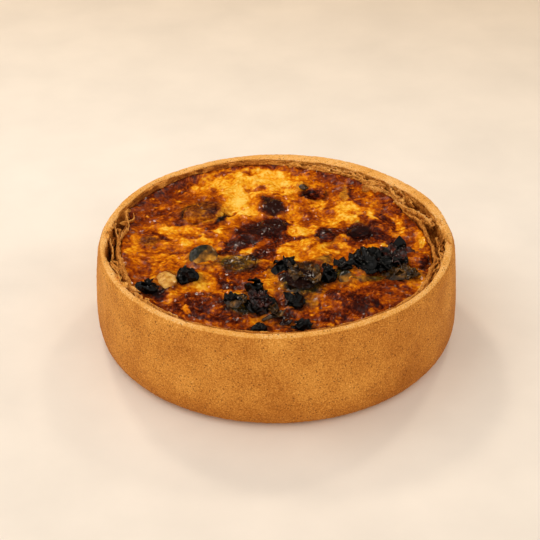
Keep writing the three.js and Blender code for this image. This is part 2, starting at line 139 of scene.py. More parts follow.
# Browning of the custard, laid one over another on the level plane: middle, half length, half width,
# turn in degrees, how brown from 0 to 1, and how soft the patch's edge is.
PATCHES = (
    # back left: leathery brown climb, then the pale curds of the back
    (-66, 42, 14, 20, -35, 0.56, 0.15),
    (-62, 60, 12, 4, 45, 0.66, 0.2),
    (-52, 70, 11, 3, 40, 0.7, 0.2),
    (-74, 34, 4, 10, -20, 0.6, 0.2),
    (-20, 72, 26, 18, 0, 0.17, 0.12),
    (-45, 68, 5, 12, -18, 0.24, 0.15),
    (-42, 58, 8, 5, 0, 0.4, 0.2),
    (-47, 54, 4, 5, 0, 0.5, 0.25),
    (-37, 64, 3, 4, 0, 0.44, 0.25),
    (-17, 84, 3, 5, 0, 0.44, 0.25),
    (-28, 78, 4, 6, 30, 0.3, 0.25),
    (-32, 82, 8, 3, 20, 0.5, 0.25),
    (-23, 46, 7, 17, -6, 0.1, 0.15),
    (-12, 56, 6, 4, 0, 0.2, 0.2),
    (-15, 38, 6, 8, 0, 0.18, 0.2),
    (-25, 32, 6, 6, 0, 0.12, 0.2),
    (-10, 64, 3.4, 2.4, 0, 0.52, 0.25),
    (-17, 62, 3, 2.4, 0, 0.44, 0.3),
    (-5, 80, 9, 9, 0, 0.12, 0.2),
    # the lump under the skin
    (-45, 38, 13, 12, 35, 0.43, 0.18),
    (-55, 30, 5, 6, 0, 0.58, 0.25),
    (-40, 48, 6, 4, 20, 0.54, 0.25),
    (-43, 43, 9, 6.5, 20, 0.57, 0.3),
    (-38, 37, 4, 3.4, 20, 0.68, 0.35),
    (-41, 28, 9, 4, 10, 0.36, 0.25),
    (-30, 36, 3.6, 10, -14, 0.28, 0.15),
    (-48, 25, 7, 4, 10, 0.42, 0.2),
    (-55, 24, 3, 4, 0, 0.7, 0.2),
    # painted shadow: a thin dark line along the lump's lower right edge
    (-29, 29, 9, 1.6, 48, 0.84, 0.25),
    (-39, 21, 6, 1.5, 12, 0.6, 0.3),
    # left
    (-60, 15, 6, 6, 0, 0.22, 0.15),
    (-50, 14, 6, 5, 0, 0.28, 0.2),
    (-46, 4, 12, 4, 5, 0.21, 0.2),
    (-60, 2, 6, 5, 0, 0.38, 0.2),
    (-75, 10, 8, 9, 0, 0.54, 0.15),
    (-65, 10, 7, 1.6, -45, 0.72, 0.25),
    (-80, 4, 2, 12, 4, 0.3, 0.2),
    (-48, 9, 5, 3, 0, 0.52, 0.25),
    (-37, 16, 3.4, 4.5, 0, 0.66, 0.2),
    (-36, 9, 5, 3, 0, 0.48, 0.25),
    (-31, 14, 5, 4, 0, 0.18, 0.2),
    (-57, -14, 9, 6, 15, 0.37, 0.15),
    (-60, -7.5, 10, 2, 8, 0.55, 0.25),
    (-66, -22, 8, 6, 0, 0.4, 0.2),
    (-72, -18, 2, 7, 10, 0.58, 0.25),
    (-78, -14, 2.4, 9, 8, 0.32, 0.2),
    (-70, -31, 8, 4, 0, 0.52, 0.2),
    (-63, -50, 4, 4, 0, 0.86, 0.2),
    # middle: the spot, the dark drift and its tail
    (12, 42, 12, 16, 0, 0.34, 0.2),
    (-2, 46, 10, 14, 0, 0.35, 0.2),
    (-2.5, 44, 7.2, 11, 0, 0.8, 0.3),
    (15, 46, 5, 4, 0, 0.48, 0.3),
    (-14, 27, 10, 5, 0, 0.4, 0.2),
    (-24, 13, 7, 9, 0, 0.42, 0.2),
    (-11, 15, 13, 10, 25, 0.82, 0.16),
    (0, 17, 9, 13, 10, 0.86, 0.18),
    (-19, 2, 14, 7, 38, 0.79, 0.18),
    (-27, -7, 7, 4, 20, 0.76, 0.2),
    (3, 3, 14, 4, 18, 0.72, 0.2),
    (-5, -8, 11, 7, 40, 0.76, 0.16),
    (-17, -8, 4, 3.4, 30, 0.2, 0.2),
    (-8, 1, 5, 1.8, 40, 0.46, 0.3),
    (15, 15, 8, 7, 0, 0.18, 0.15),
    (20, 28, 6, 9, 0, 0.52, 0.2),
    (9, 33, 5, 6, 0, 0.3, 0.25),
    (23, 16, 3, 5, 0, 0.3, 0.25),
    # back right
    (8, 66, 9, 8, -20, 0.14, 0.15),
    (12, 77, 8, 4, 0, 0.26, 0.2),
    (21, 74, 7, 4, 0, 0.36, 0.2),
    (22, 56, 8, 5, 0, 0.76, 0.16),
    (33, 60, 7, 10, 0, 0.5, 0.2),
    (36, 74, 10, 6, 0, 0.6, 0.2),
    (26, 45, 5, 5, 45, 0.27, 0.15),
    (32, 42, 3, 6, 0, 0.52, 0.25),
    (42, 34, 9, 12, -12, 0.19, 0.15),
    (34, 26, 5, 6, 0, 0.26, 0.2),
    (33, 33, 2.4, 2.4, 0, 0.44, 0.3),
    (45, 33, 2.6, 2.6, 0, 0.4, 0.3),
    (42, 55, 2.4, 8, 0, 0.34, 0.2),
    (46, 56, 1.8, 9, 0, 0.66, 0.25),
    (53, 57, 6, 11, 5, 0.48, 0.15),
    (55, 60, 2, 5, 10, 0.32, 0.3),
    (50, 46, 5, 3, -40, 0.6, 0.25),
    (59, 47, 4, 4, 0, 0.3, 0.2),
    (58, 31, 4, 8, 20, 0.17, 0.15),
    (51, 27, 3, 5, 0, 0.55, 0.25),
    (64, 24, 3, 12, 24, 0.7, 0.2),
    (69, 40, 6, 13, 22, 0.63, 0.16),
    (72, 20, 3, 9, 15, 0.32, 0.2),
    (77, 20, 3, 11, 10, 0.58, 0.2),
    (76, 3, 4, 10, 5, 0.52, 0.2),
    (82, 0, 2.4, 16, 3, 0.3, 0.2),
    (57, 14, 6, 10, 0, 0.76, 0.15),
    (63, 17, 4, 5, 0, 0.58, 0.2),
    (47, 10, 8, 8, 0, 0.76, 0.14),
    (28, 10, 6, 8, 0, 0.72, 0.14),
    (38, 14, 8, 3, 15, 0.68, 0.25),
    (38, 8, 3, 3, 0, 0.3, 0.25),
    (47, 1, 10, 5, 0, 0.66, 0.2),
    (62, 3, 7, 5, 0, 0.72, 0.2),
    # bright band in front of the middle
    (14, -1, 12, 5, 15, 0.27, 0.15),
    (27, -2, 9, 5, 0, 0.22, 0.15),
    (10, -12, 6, 5, 30, 0.24, 0.2),
    (3, -9, 4, 3, 0, 0.14, 0.2),
    (36, -5, 5, 7, 0, 0.22, 0.15),
    (22, -11, 5, 6, 0, 0.3, 0.2),
    (30, -12, 6, 3, 0, 0.4, 0.25),
    (40, -15, 3, 8, 0, 0.36, 0.2),
    (61, -3, 2, 1.4, 0, 0.1, 0.3),
    (20, -3, 3.4, 2, 20, 0.5, 0.3),
    (33, -4, 3.4, 2, -20, 0.52, 0.3),
    (27, 2, 7, 1.6, 5, 0.5, 0.3),
    (14, -24, 12, 7, 0, 0.66, 0.15),
    (14, -38, 13, 15, 10, 0.74, 0.2),
    (27, -17, 5, 4, 0, 0.46, 0.2),
    # front left
    (-25, -37, 10, 11, 10, 0.73, 0.14),
    (-14, -33, 8, 5, 0, 0.5, 0.2),
    (-12, -27, 9, 3, 5, 0.66, 0.2),
    (-42, -38, 6, 10, 0, 0.26, 0.15),
    (-35, -41, 4, 10, 20, 0.34, 0.2),
    (-3, -37, 4, 7, 0, 0.28, 0.15),
    (-38, -63, 20, 13, -20, 0.73, 0.12),
    (-27, -71, 12, 8, -20, 0.7, 0.14),
    (-57, -52, 6, 3, 35, 0.34, 0.2),
    (-48, -65, 2.6, 6, 15, 0.3, 0.25),
    (-52, -57, 2, 3, 0, 0.5, 0.3),
    (-40, -77, 12, 2, -22, 0.46, 0.3),
    (-28, -53, 2, 8, 30, 0.36, 0.25),
    (-12, -68, 10, 6, 0, 0.68, 0.2),
    # front middle
    (0, -47, 3, 7, 0, 0.44, 0.2),
    (3, -57, 4, 9, 0, 0.66, 0.25),
    (18, -57, 5, 9, -5, 0.5, 0.15),
    (23, -62, 1.4, 6, 0, 0.86, 0.3),
    (6, -73, 9, 5, 0, 0.7, 0.16),
    (18, -74, 8, 5, 0, 0.62, 0.2),
    # front right
    (35, -43, 8, 5, 0, 0.43, 0.15),
    (44, -60, 18, 13, 25, 0.72, 0.12),
    (60, -47, 12, 7, 20, 0.66, 0.14),
    (31, -52, 5, 6, 0, 0.74, 0.2),
    (30, -72, 9, 6, 20, 0.7, 0.14),
    (26, -60, 3, 6, 0, 0.46, 0.2),
    (31, -64, 3, 3, 0, 0.48, 0.3),
    (46, -51, 4, 2, 0, 0.5, 0.25),
    (52, -54, 4, 3, -30, 0.52, 0.25),
    (58, -59, 4, 3, 30, 0.48, 0.25),
    (51, -66, 3.4, 2.8, 0, 0.44, 0.25),
    (63, -49, 3, 2.4, 0, 0.5, 0.3),
    (74, -40, 6, 6, 30, 0.28, 0.15),
    (82, -24, 3, 8, 10, 0.64, 0.2),
)
# Scorched film over the browning, laid in the same way: how strong it is and how soft its edge is.
SCORCH = (
    (-2, 43, 7, 11, 0, 1.0, 0.25),
    (-11, 15, 10, 7, 25, 0.7, 0.3),
    (0, 20, 6, 8, 10, 0.75, 0.3),
    (-20, 2, 9, 4, 35, 0.6, 0.3),
    (-42, 41, 7, 6, 20, 0.3, 0.4),
    (48, 17, 5, 6, 0, 0.8, 0.3),
    (28, 13, 4, 5, 0, 0.5, 0.3),
    (12, -36, 9, 10, 0, 0.5, 0.35),
    (45, -62, 9, 6, 20, 0.35, 0.4),
)
# Places where chopped herbs and leaf juice tint the custard olive, laid in the same way.
HERBS = (
    (-44, 38, 12, 10, 25, 0.38, 0.35),
    (-20, -18, 10, 8, 0, 0.85, 0.25),
    (14, -26, 10, 8, 0, 0.7, 0.3),
    (13, -42, 12, 12, 0, 0.75, 0.3),
    (27, -17, 5, 4, 0, 0.7, 0.3),
    (-16, -65, 9, 6, 0, 0.75, 0.3),
    (35, -31, 4, 6, 0, 0.8, 0.3),
    (50, -37, 9, 3, 0, 0.7, 0.3),
    (-30, 35, 4, 10, -14, 0.4, 0.25),
    (-42, -38, 4, 8, 0, 0.35, 0.3),
    (18, -57, 4, 7, 0, 0.45, 0.3),
    (42, 55, 2.4, 8, 0, 0.5, 0.3),
    (-72, 6, 7, 5, 0, 0.4, 0.3),
    (-24, 66, 10, 1.6, 65, 0.3, 0.4),
)
# Rings of browning beside the pastry: from and to in degrees, inner radius, how brown, how soft.
EDGES = (
    (100, 176, 82, 0.67, 3.5),
    (70, 100, 86, 0.62, 2.5),
    (38, 72, 79, 0.66, 3),
    (-12, 40, 83, 0.56, 3),
    (176, 215, 84, 0.56, 2.5),
    (215, 330, 82, 0.62, 3),
)


def linear(code, gain=1.0):
    """Linear colour with alpha of an sRGB hex code, brightened by the gain."""
    parts = [int(code[i:i + 2], 16) / 255 for i in (1, 3, 5)]
    parts = [p / 12.92 if p <= 0.04045 else ((p + 0.055) / 1.055) ** 2.4 for p in parts]
    return tuple(min(1.0, gain * p) for p in parts) + (1.0,)


# ---------------------------------------------------------------- uneven numbers


def chance(n):
    """Repeatable uneven numbers from 0 to 1 for whole numbers."""
    s = np.sin(np.asarray(n) * 127.1 + 11.7) * 43758.5453
    return s - np.floor(s)


def ripple(angle, seed, lowest, highest):
    """Closed uneven wave round the rim, about -1 to 1."""
    k = np.arange(lowest, highest + 1)
    return np.sin(np.multiply.outer(angle, k) + TURN * chance(seed * 37 + k)).sum(-1) / math.sqrt(len(k))


def waves(x, y, length, seed):
    """Uneven waves over the plan, about -1 to 1, of the given length in millimetres."""
    total = 0
    for k in range(5):
        heading = TURN * chance(seed * 53 + k)
        step = length * (0.7 + 0.6 * chance(seed * 53 + k + 20))
        along = x * math.cos(heading) + y * math.sin(heading)
        total = total + np.sin(TURN * along / step + TURN * chance(seed * 53 + k + 40))
    return total / math.sqrt(5)


def hashed(corners, seed):
    """Repeatable number from 0 to 1 for each row of whole numbers."""
    c = corners.astype(np.int64).astype(np.uint64)
    h = c[:, 0] * np.uint64(0x9E3779B1) + c[:, 1] * np.uint64(0x85EBCA77) + c[:, 2] * np.uint64(0xC2B2AE3D)
    h = (h + np.uint64(seed * 0x27D4EB2F)) & np.uint64(0xFFFFFFFF)
    h = ((h ^ (h >> np.uint64(15))) * np.uint64(0x2C1B3C6D)) & np.uint64(0xFFFFFFFF)
    h = ((h ^ (h >> np.uint64(12))) * np.uint64(0x297A2D39)) & np.uint64(0xFFFFFFFF)
    h = h ^ (h >> np.uint64(15))
    return h.astype(float) / 0xFFFFFFFF


def noise(points, seed):
    """Smooth gradient noise, about -1 to 1, for points of shape (n, 3), with features of size 1."""
    base = np.floor(points)
    part = points - base
    fade = part ** 3 * (part * (part * 6 - 15) + 10)
    total = np.zeros(len(points))
    for corner in np.ndindex(2, 2, 2):
        near = base + corner
        azimuth = TURN * hashed(near, seed)
        high = 2 * hashed(near, seed + 101) - 1
        flat = np.sqrt(1 - high ** 2)
        away = part - corner
        slope = (away[:, 0] * np.cos(azimuth) + away[:, 1] * np.sin(azimuth)) * flat + away[:, 2] * high
        total += np.prod(np.where(corner, fade, 1 - fade), axis=1) * slope
    return 1.7 * total


def fractal(points, size, octaves, seed, keep=0.5):
    """Layered noise whose largest features are size millimetres."""
    total, weight = 0, 1.0
    for k in range(octaves):
        total = total + weight * noise(points / size, seed + k)
        size, weight = size / 2, weight * keep
    return total


def crease(points, size, octaves, seed, keep=0.5):
    """Layered sharp creases from 0 to about 1, with features of size millimetres."""
    total, weight, whole = 0, 1.0, 0
    for k in range(octaves):
        total = total + weight * np.abs(noise(points / size, seed + k))
        whole += weight
        size, weight = size / 2, weight * keep
    return total / whole * 1.6


def cells(points, size, seed):
    """Distance to the nearest of scattered points, and that point's chance."""
    p = points / size
    base = np.floor(p)
    nearest = np.full(len(p), 9.0)
    luck = np.zeros(len(p))
    for step in np.ndindex(3, 3, 3):
        cell = base + np.array(step) - 1
        spot = cell + np.stack([hashed(cell, seed + k) for k in range(3)], 1)
        away = np.sqrt(((p - spot) ** 2).sum(1))
        nearer = away < nearest
        luck = np.where(nearer, hashed(cell, seed + 7), luck)
        nearest = np.where(nearer, away, nearest)
    return nearest, luck


def lerp(a, b, t):
    """Value at share t of the way from a to b."""
    return a + (b - a) * t


def smoothstep(t, low=0.0, high=1.0):
    """Soft step from 0 at low to 1 at high, which may be the smaller one."""
    t = np.clip((np.asarray(t) - low) / (high - low), 0, 1)
    return t * t * (3 - 2 * t)


def off_heading(degrees, heading):
    """How far directions are from a heading, from -180 to 180 degrees."""
    return (degrees - heading + 180) % 360 - 180


def oval(x, y, middle_x, middle_y, long, wide, degrees):
    """Square of the distance from the middle of a turned ellipse, 1 on its edge."""
    turn = math.radians(degrees)
    along = (x - middle_x) * math.cos(turn) + (y - middle_y) * math.sin(turn)
    across = (y - middle_y) * math.cos(turn) - (x - middle_x) * math.sin(turn)
    return (along / long) ** 2 + (across / wide) ** 2


# ---------------------------------------------------------------- shape of the pastry and custard


def station_at(angle):
    """Wall, gap, depth, leaf and drop at each angle."""
    at = STATIONS[:, 0]
    degrees = np.degrees(angle) % 360
    after = np.searchsorted(at, degrees, side="right")
    to, before = after % len(at), (after - 1) % len(at)
    share = smoothstep(((degrees - at[before]) % 360) / ((at[to] - at[before]) % 360))
    wall, gap, depth, leaf, drop = lerp(STATIONS[before, 1:], STATIONS[to, 1:], share[:, None]).T
    web = np.zeros(len(degrees))
    for here in WEBS:
        web = np.maximum(web, np.exp(-((off_heading(degrees, here) / WEB_SPREAD) ** 2)))
    return wall, gap, np.maximum(1, depth * (1 - WEB_RISE * web)), leaf, drop


def wall_radius(z):
    """Radius of the outside of the wall at a height."""
    up = z / HEIGHT
    return lerp(BASE_RADIUS, RIM_RADIUS, up) + BELLY * np.sin(np.pi * up)


def inner_face(angle):
    """Inside of the pastry from the leaf's top down to the floor, as (radius, z) pairs."""
    wall, gap, _, leaf, drop = station_at(angle)
    mouth = RIM_RADIUS - wall - gap - leaf
    ragged = 0.5 * ripple(angle, 5, 9, 16)
    brink = HEIGHT - drop - 0.9 + 0.5 * ripple(angle, 7, 14, 30)
    same = np.ones_like(angle)
    return [
        (mouth + ragged, brink),
        (mouth + 0.6, (LEVEL - 2) * same),
        (lerp(mouth, CAVITY_RADIUS, 0.7), 39 * same),
        (CAVITY_RADIUS * same, 24 * same),
        ((CAVITY_RADIUS - 2) * same, (FLOOR + 5) * same),
        ((CAVITY_RADIUS - 7) * same, FLOOR * same),
    ]


# Where the section's points with a meaning of their own stand in its list: the end of the underside, the
# wall's top, the lip of the gap, the leaf's outer edge, its brink, its foot, and the inside below it.
MARKS = [1, 8, 11, 14, 16, 17, 18]


def crust_section(angle):
    """Radial sections through the pastry: control points and how many faces each stretch takes."""
    wall, gap, depth, leaf, drop = station_at(angle)
    same = np.ones_like(angle)
    top = HEIGHT - 0.6 + 0.3 * ripple(angle, 3, 2, 9)
    bulge = 0.25 * ripple(angle, 4, 3, 8)
    inside = inner_face(angle)
    mouth, brink = inside[0]
    wall_inside = RIM_RADIUS - wall + 0.4 * ripple(angle, 6, 8, 15)
    leaf_outside = np.minimum(mouth + leaf, wall_inside - 0.7)
    bottom = top - depth
    width = 0.35 * (wall_inside - leaf_outside)
    bottom_outside = wall_inside - 0.2 * (wall_inside - leaf_outside)
    leaf_top = np.maximum(brink, bottom + 0.3)

    def heel(degrees):
        turn = math.radians(degrees)
        return ((BASE_RADIUS - HEEL + HEEL * math.sin(turn)) * same, HEEL * (1 - math.cos(turn)) * same)

    points = [
        (0.4 * same, 0 * same),
        ((BASE_RADIUS - HEEL) * same, 0 * same),
        heel(35),
        heel(65),
        *((wall_radius(z) + bulge, z * same) for z in (HEEL + 2, 22, 38)),
        (wall_radius(top - RIM_ROUNDING), top - RIM_ROUNDING),
        (RIM_RADIUS - 0.9 * same, top - 1.4),
        (RIM_RADIUS - 2.3 * same, top - 0.1),
        (wall_inside + 1, top - 0.1),
        (wall_inside, top - 0.9),
        (bottom_outside, bottom),
        (bottom_outside - width, bottom),
        (leaf_outside, leaf_top),
        (lerp(leaf_outside, mouth, 0.5), leaf_top + 0.7),
        *inside,
        (0.4 * same, FLOOR * same),
    ]
    counts = (3, 5, 4, 4, 13, 17, 16, 5, 3, 5, 3, 11, 3, 11, 5, 5, 9, 3, 2, 1, 1, 1)
    return points, counts


def crust_rows(angle):
    """Radius and height of each row of points over the section, smoothed, and the rows of its marks."""
    points, counts = crust_section(angle)
    rows = [
        (lerp(r0, r1, k / count), lerp(z0, z1, k / count))
        for (r0, z0), (r1, z1), count in zip(points, points[1:], counts)
        for k in range(count)
    ]
    radius, height = (np.stack(line, 1) for line in zip(*rows, points[-1]))
    for _ in range(3):
        for line in (radius, height):
            line[:, 4:-3] = 0.5 * line[:, 4:-3] + 0.25 * (line[:, 3:-4] + line[:, 5:-2])
    return radius, height, np.cumsum((0,) + counts)[MARKS]


def custard_level(x, y):
    """Height of the custard's top over the plan, without its finer relief."""
    reach = np.hypot(x, y) / CAVITY_RADIUS
    settle = 1 - smoothstep(reach, 0.86, 1)
    z = 0.55 * waves(x, y, 26, 1) + 0.35 * waves(x, y, 11, 2)
    for *mound, rise, degrees in MOUNDS:
        z = z + rise * np.exp(-oval(x, y, *mound, degrees))
    return LEVEL + z * lerp(0.35, 1, settle) + climb(x, y)


def climb(x, y):
    """How far the custard has climbed towards the pastry."""
    degrees = np.degrees(np.arctan2(y, x))
    back = smoothstep(95 - np.abs(off_heading(degrees, CLIMB["heading"])), 0, 45)
    mouth = inner_face(np.radians(degrees))[1][0]
    near = 1 - smoothstep(mouth - np.hypot(x, y), 0, CLIMB["width"])
    return lerp(CLIMB["front"], CLIMB["back"], back) * near ** 2


# ---------------------------------------------------------------- meshes


def made_mesh(name, points, faces):
    """Smooth mesh from points in millimetres and lists of faces."""
    mesh = bpy.data.meshes.new(name)
    mesh.from_pydata((np.asarray(points) * MM).tolist(), [], faces)
    mesh.validate()
    mesh.shade_smooth()
    return mesh


def merged(parts):
    """Points and faces of one mesh that holds many small parts, each given as points and faces."""
    points, faces, total = [], [], 0
    for cloud, quads in parts:
        points.append(cloud)
        faces += [[v + total for v in face] for face in quads]
        total += len(cloud)
    return np.concatenate(points), faces


def add_piece(mesh, material, nodes=()):
    """Shown piece, named as its mesh, that rides on the quiche and stands for the named solids."""
    piece = bpy.data.objects.new(mesh.name, mesh)
    bpy.context.scene.collection.objects.link(piece)
    mesh.materials.clear()
    mesh.materials.append(material)
    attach(piece, "root")
    if nodes:
        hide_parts(*nodes)


def set_value(mesh, name, values):
    """Stores one number at each point of a mesh for its material."""
    layer = mesh.attributes.new(name, "FLOAT", "POINT")
    layer.data.foreach_set("value", np.asarray(values, dtype=np.float32))


def vectors(mesh, name):
    """Places ("co", in metres) or normals ("normal") of a mesh's points."""
    mesh.update()
    values = np.empty(len(mesh.vertices) * 3, dtype=np.float32)
    mesh.vertices.foreach_get(name, values)
    return values.reshape(-1, 3).astype(float)


def move_points(mesh, points):
    """Moves the points of a mesh, no higher than the solid model reaches."""
    points = np.array(points, dtype=np.float32)
    points[:, 2] = np.minimum(points[:, 2], TOP)
    mesh.vertices.foreach_set("co", (points * MM).ravel())
    mesh.update()


def tube_faces(sections, around, closed=False):
    """Faces of a grid of sections, each with around points in a loop, joined in order."""
    i = np.arange(sections if closed else sections - 1)[:, None]
    j = np.arange(around)[None, :]
    a, b = i * around + j, i * around + (j + 1) % around
    after = ((i + 1) % sections) * around
    quads = np.stack(np.broadcast_arrays(a, b, after + (j + 1) % around, after + j), -1)
    return quads.reshape(-1, 4).tolist()


def grown(node, voxel, levels=2):
    """Closed evenly faced mesh of a solid, rounded by subdivision, with its points and normals."""
    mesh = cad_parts[node].data.copy()
    holder = bpy.data.objects.new(node + "_shown", mesh)
    bpy.context.scene.collection.objects.link(holder)
    weld = holder.modifiers.new("Join corners", "WELD")
    weld.merge_threshold = 0.02 * MM
    if levels:
        rounding = holder.modifiers.new("Round", "SUBSURF")
        rounding.levels = rounding.render_levels = levels
    even = holder.modifiers.new("Even faces", "REMESH")
    even.mode = "VOXEL"
    even.voxel_size = voxel * MM
    graph = bpy.context.evaluated_depsgraph_get()
    result = bpy.data.meshes.new_from_object(holder.evaluated_get(graph))
    bpy.data.objects.remove(holder)
    bpy.data.meshes.remove(mesh)
    result.name = node + "_shown"
    result.shade_smooth()
    return result, vectors(result, "co") / MM, vectors(result, "normal")


def landing(context, graph, x, y):
    """Place on the quiche, in millimetres, straight below a point over it."""
    above = Vector((x, y, ABOVE)) * MM
    hit, spot, *_ = context.scene.ray_cast(graph, above, Vector((0, 0, -1)))
    if not hit:
        raise RuntimeError("a scattered piece has nothing to lie on")
    return np.array(spot) / MM


# ---------------------------------------------------------------- materials


def add_node(tree, kind, settings=None, links=None):
    """Adds one shader node, with its properties, stops or input values and the sockets linked into it."""
    made = tree.nodes.new("ShaderNode" + kind)
    for key, value in (settings or {}).items():
        if key == "stops":
            set_stops(made.color_ramp.elements, value)
        elif isinstance(key, str) and hasattr(made, key):
            setattr(made, key, value)
        else:
            made.inputs[key].default_value = value
    for key, source in (links or {}).items():
        tree.links.new(source, made.inputs[key])
    return made


def set_stops(elements, stops):
    """Gives a colour ramp its stops: a position, an sRGB hex code and, where it isn't 1, a gain."""
    while len(elements) > 1:
        elements.remove(elements[-1])
    (position, *colour), *others = stops
    elements[0].position, elements[0].color = position, linear(*colour)
    for position, *colour in others:
        elements.new(position).color = linear(*colour)


def new_material(name, settings):
    """Material with one Principled shader, with uniform values set on its sockets."""
    material = bpy.data.materials.new(name)
    material.use_nodes = True
    tree = material.node_tree
    tree.nodes.clear()
    shader = add_node(tree, "BsdfPrincipled", settings)
    add_node(tree, "OutputMaterial", links={"Surface": shader.outputs[0]})
    place = add_node(tree, "TexCoord").outputs["Object"]
    return material, tree, shader, place


def set_surface(tree, shader, colour, height, strength, rise):
    """Gives a shader its colour and its fine relief, which rises so many millimetres."""
    tree.links.new(colour, shader.inputs["Base Color"])
    bump = add_node(tree, "Bump", {"Strength": strength, "Distance": rise * MM}, {"Height": height})
    tree.links.new(bump.outputs[0], shader.inputs["Normal"])


def per_mm(size):
    """Texture scale, in metres of object space, for a feature of that many millimetres."""
    return 1 / (size * MM)


def shortcrust(settings):
    """Baked shortcrust pastry, raw-edged and matt: golden, with fine dark pores and a sandy grain."""
    material, tree, shader, place = new_material(
        "baked_shortcrust", {"Roughness": 0.75, "IOR": 1.45, "Specular IOR Level": 0.14}
    )
    # the pastry's browning together with the painted shade and painted highlight laid on its points
    toast = add_node(tree, "Attribute", {"attribute_name": "toast"}).outputs["Fac"]
    # the grain of real pastry is finer than 0.5 mm, and is drawn this coarse so that it shows
    cloud, grain, rare = (
        add_node(tree, "TexNoise", {"Scale": per_mm(size), "Detail": detail}, {"Vector": place}).outputs[0]
        for size, detail in ((16, 4.0), (0.75, 3.0), (3.0, 1.0))
    )
    pores = add_node(tree, "TexVoronoi", {"Scale": per_mm(1.5), "Randomness": 1.0}, {"Vector": place})
    pore = add_node(
        tree, "MapRange", {"From Min": 0.1, "From Max": 0.34, "To Min": 1.0, "To Max": 0.0},
        {"Value": pores.outputs["Distance"]},
    ).outputs[0]
    seldom = add_node(tree, "MapRange", {"From Min": 0.44, "From Max": 0.56}, {"Value": rare}).outputs[0]
    pore = add_node(tree, "Math", {"operation": "MULTIPLY"}, {0: pore, 1: seldom}).outputs[0]
    shade = toast
    for pattern, gain, start in ((cloud, 0.36, -0.18), (grain, 0.85, -0.43)):
        shift = add_node(tree, "Math", {"operation": "MULTIPLY_ADD", 1: gain, 2: start}, {0: pattern})
        shade = add_node(tree, "Math", {"operation": "ADD"}, {0: shade, 1: shift.outputs[0]}).outputs[0]
    ramp = add_node(tree, "ValToRGB", {"stops": [
        (0.0, "#f0c280"), (0.25, settings.pale), (0.5, settings.golden), (0.75, settings.brown),
        (1.0, "#4a1c06"),
    ]}, {"Fac": shade})
    spotted = add_node(
        tree, "Mix", {"data_type": "RGBA", 7: linear("#6b3a12")}, {0: pore, 6: ramp.outputs["Color"]}
    )
    rise = add_node(tree, "Math", {"operation": "MULTIPLY_ADD", 1: -1.0}, {0: pore, 2: grain}).outputs[0]
    set_surface(tree, shader, spotted.outputs[2], rise, 0.5, 0.35)
    return material


def baked_custard(settings):
    """Set egg custard with melted cheese, baked brown: creamy where pale, wet and leathery where dark."""
    material, tree, shader, place = new_material(
        "baked_cheese_custard",
        {"Roughness": 0.5, "IOR": 1.4, "Specular IOR Level": 0.0, "Coat Roughness": 0.06, "Coat IOR": 1.33,
         "Subsurface Weight": 0.15, "Subsurface Radius": (1.0, 0.45, 0.15), "Subsurface Scale": 2.5 * MM},
    )
    # browning, with painted shade from the relief, stored on the custard's points
    brown, herb, scorch = (
        add_node(tree, "Attribute", {"attribute_name": name}).outputs["Fac"]
        for name in ("browning", "herb", "scorch")
    )
    speck, pool, ripples = (
        add_node(tree, "TexNoise", {"Scale": per_mm(size), "Detail": detail}, {"Vector": place}).outputs[0]
        for size, detail in ((1.6, 4.0), (5, 2.0), (2.2, 1.0))
    )
    shift = add_node(tree, "Math", {"operation": "MULTIPLY_ADD", 1: 0.5, 2: -0.23}, {0: speck}).outputs[0]
    shade = add_node(tree, "Math", {"operation": "ADD"}, {0: brown, 1: shift}).outputs[0]
    baked = add_node(tree, "ValToRGB", {"stops": [
        (0.05, settings.cream), (0.19, settings.yellow), (0.3, settings.orange), (0.45, settings.amber),
        (0.58, settings.brown), (0.7, "#561c06"), (0.82, "#340e07"), (1.0, "#160605"),
    ]}, {"Fac": shade})
    leafy = add_node(tree, "ValToRGB", {"stops": [
        (0.1, "#d8a43c"), (0.35, "#8a6a1c"), (0.6, "#3a2e10"), (0.9, "#0c0d0a"),
    ]}, {"Fac": shade})
    mixed = add_node(
        tree, "Mix", {"data_type": "RGBA"}, {0: herb, 6: baked.outputs["Color"], 7: leafy.outputs["Color"]}
    )
    soot = add_node(
        tree, "Mix", {"data_type": "RGBA", 7: linear(settings.scorch)}, {0: scorch, 6: mixed.outputs[2]}
    )
    set_surface(tree, shader, soot.outputs[2], speck, 0.6, 0.45)
    # fat and juice lie in pools, most where the custard has browned
    film, pools = (
        add_node(
            tree, "MapRange", {"From Min": low, "From Max": high, "To Min": least, "To Max": 1.0},
            {"Value": value},
        ).outputs[0]
        for value, low, high, least in ((shade, 0.15, 0.6, 0.25), (pool, 0.5, 0.62, 0.15))
    )
    wet = add_node(tree, "Math", {"operation": "MULTIPLY"}, {0: film, 1: pools})
    tree.links.new(wet.outputs[0], shader.inputs["Coat Weight"])
    wavy = add_node(tree, "Bump", {"Strength": 0.5, "Distance": 0.4 * MM}, {"Height": ripples})
    tree.links.new(wavy.outputs[0], shader.inputs["Coat Normal"])
    return material


COOKED = {"Roughness": 0.5, "IOR": 1.4, "Specular IOR Level": 0.0}  # vegetables, under their film of oil


def cooked(name, stops, size, oil, bump, rise):
    """Cooked vegetable material: one noise through a ramp of colours, with the same noise as relief."""
    material, tree, shader, place = new_material(name, {**COOKED, **oil})
    blotch = add_node(
        tree, "TexNoise", {"Scale": per_mm(size), "Detail": 5.0, "Roughness": 0.6}, {"Vector": place}
    ).outputs[0]
    ramp = add_node(tree, "ValToRGB", {"stops": stops}, {"Fac": blotch})
    set_surface(tree, shader, ramp.outputs["Color"], blotch, bump, rise)
    return material


def charred_leaf():
    """Charred kale-like greens: near black with a cool oily sheen in the creases."""
    return cooked(
        "charred_oily_greens",
        [(0.3, "#010202"), (0.5, "#050606"), (0.6, "#0e0a08"), (0.72, "#2e1710")],
        4.5, {"Coat Weight": 0.3, "Coat Roughness": 0.05, "Coat IOR": 1.45}, 0.3, 0.25,
    )


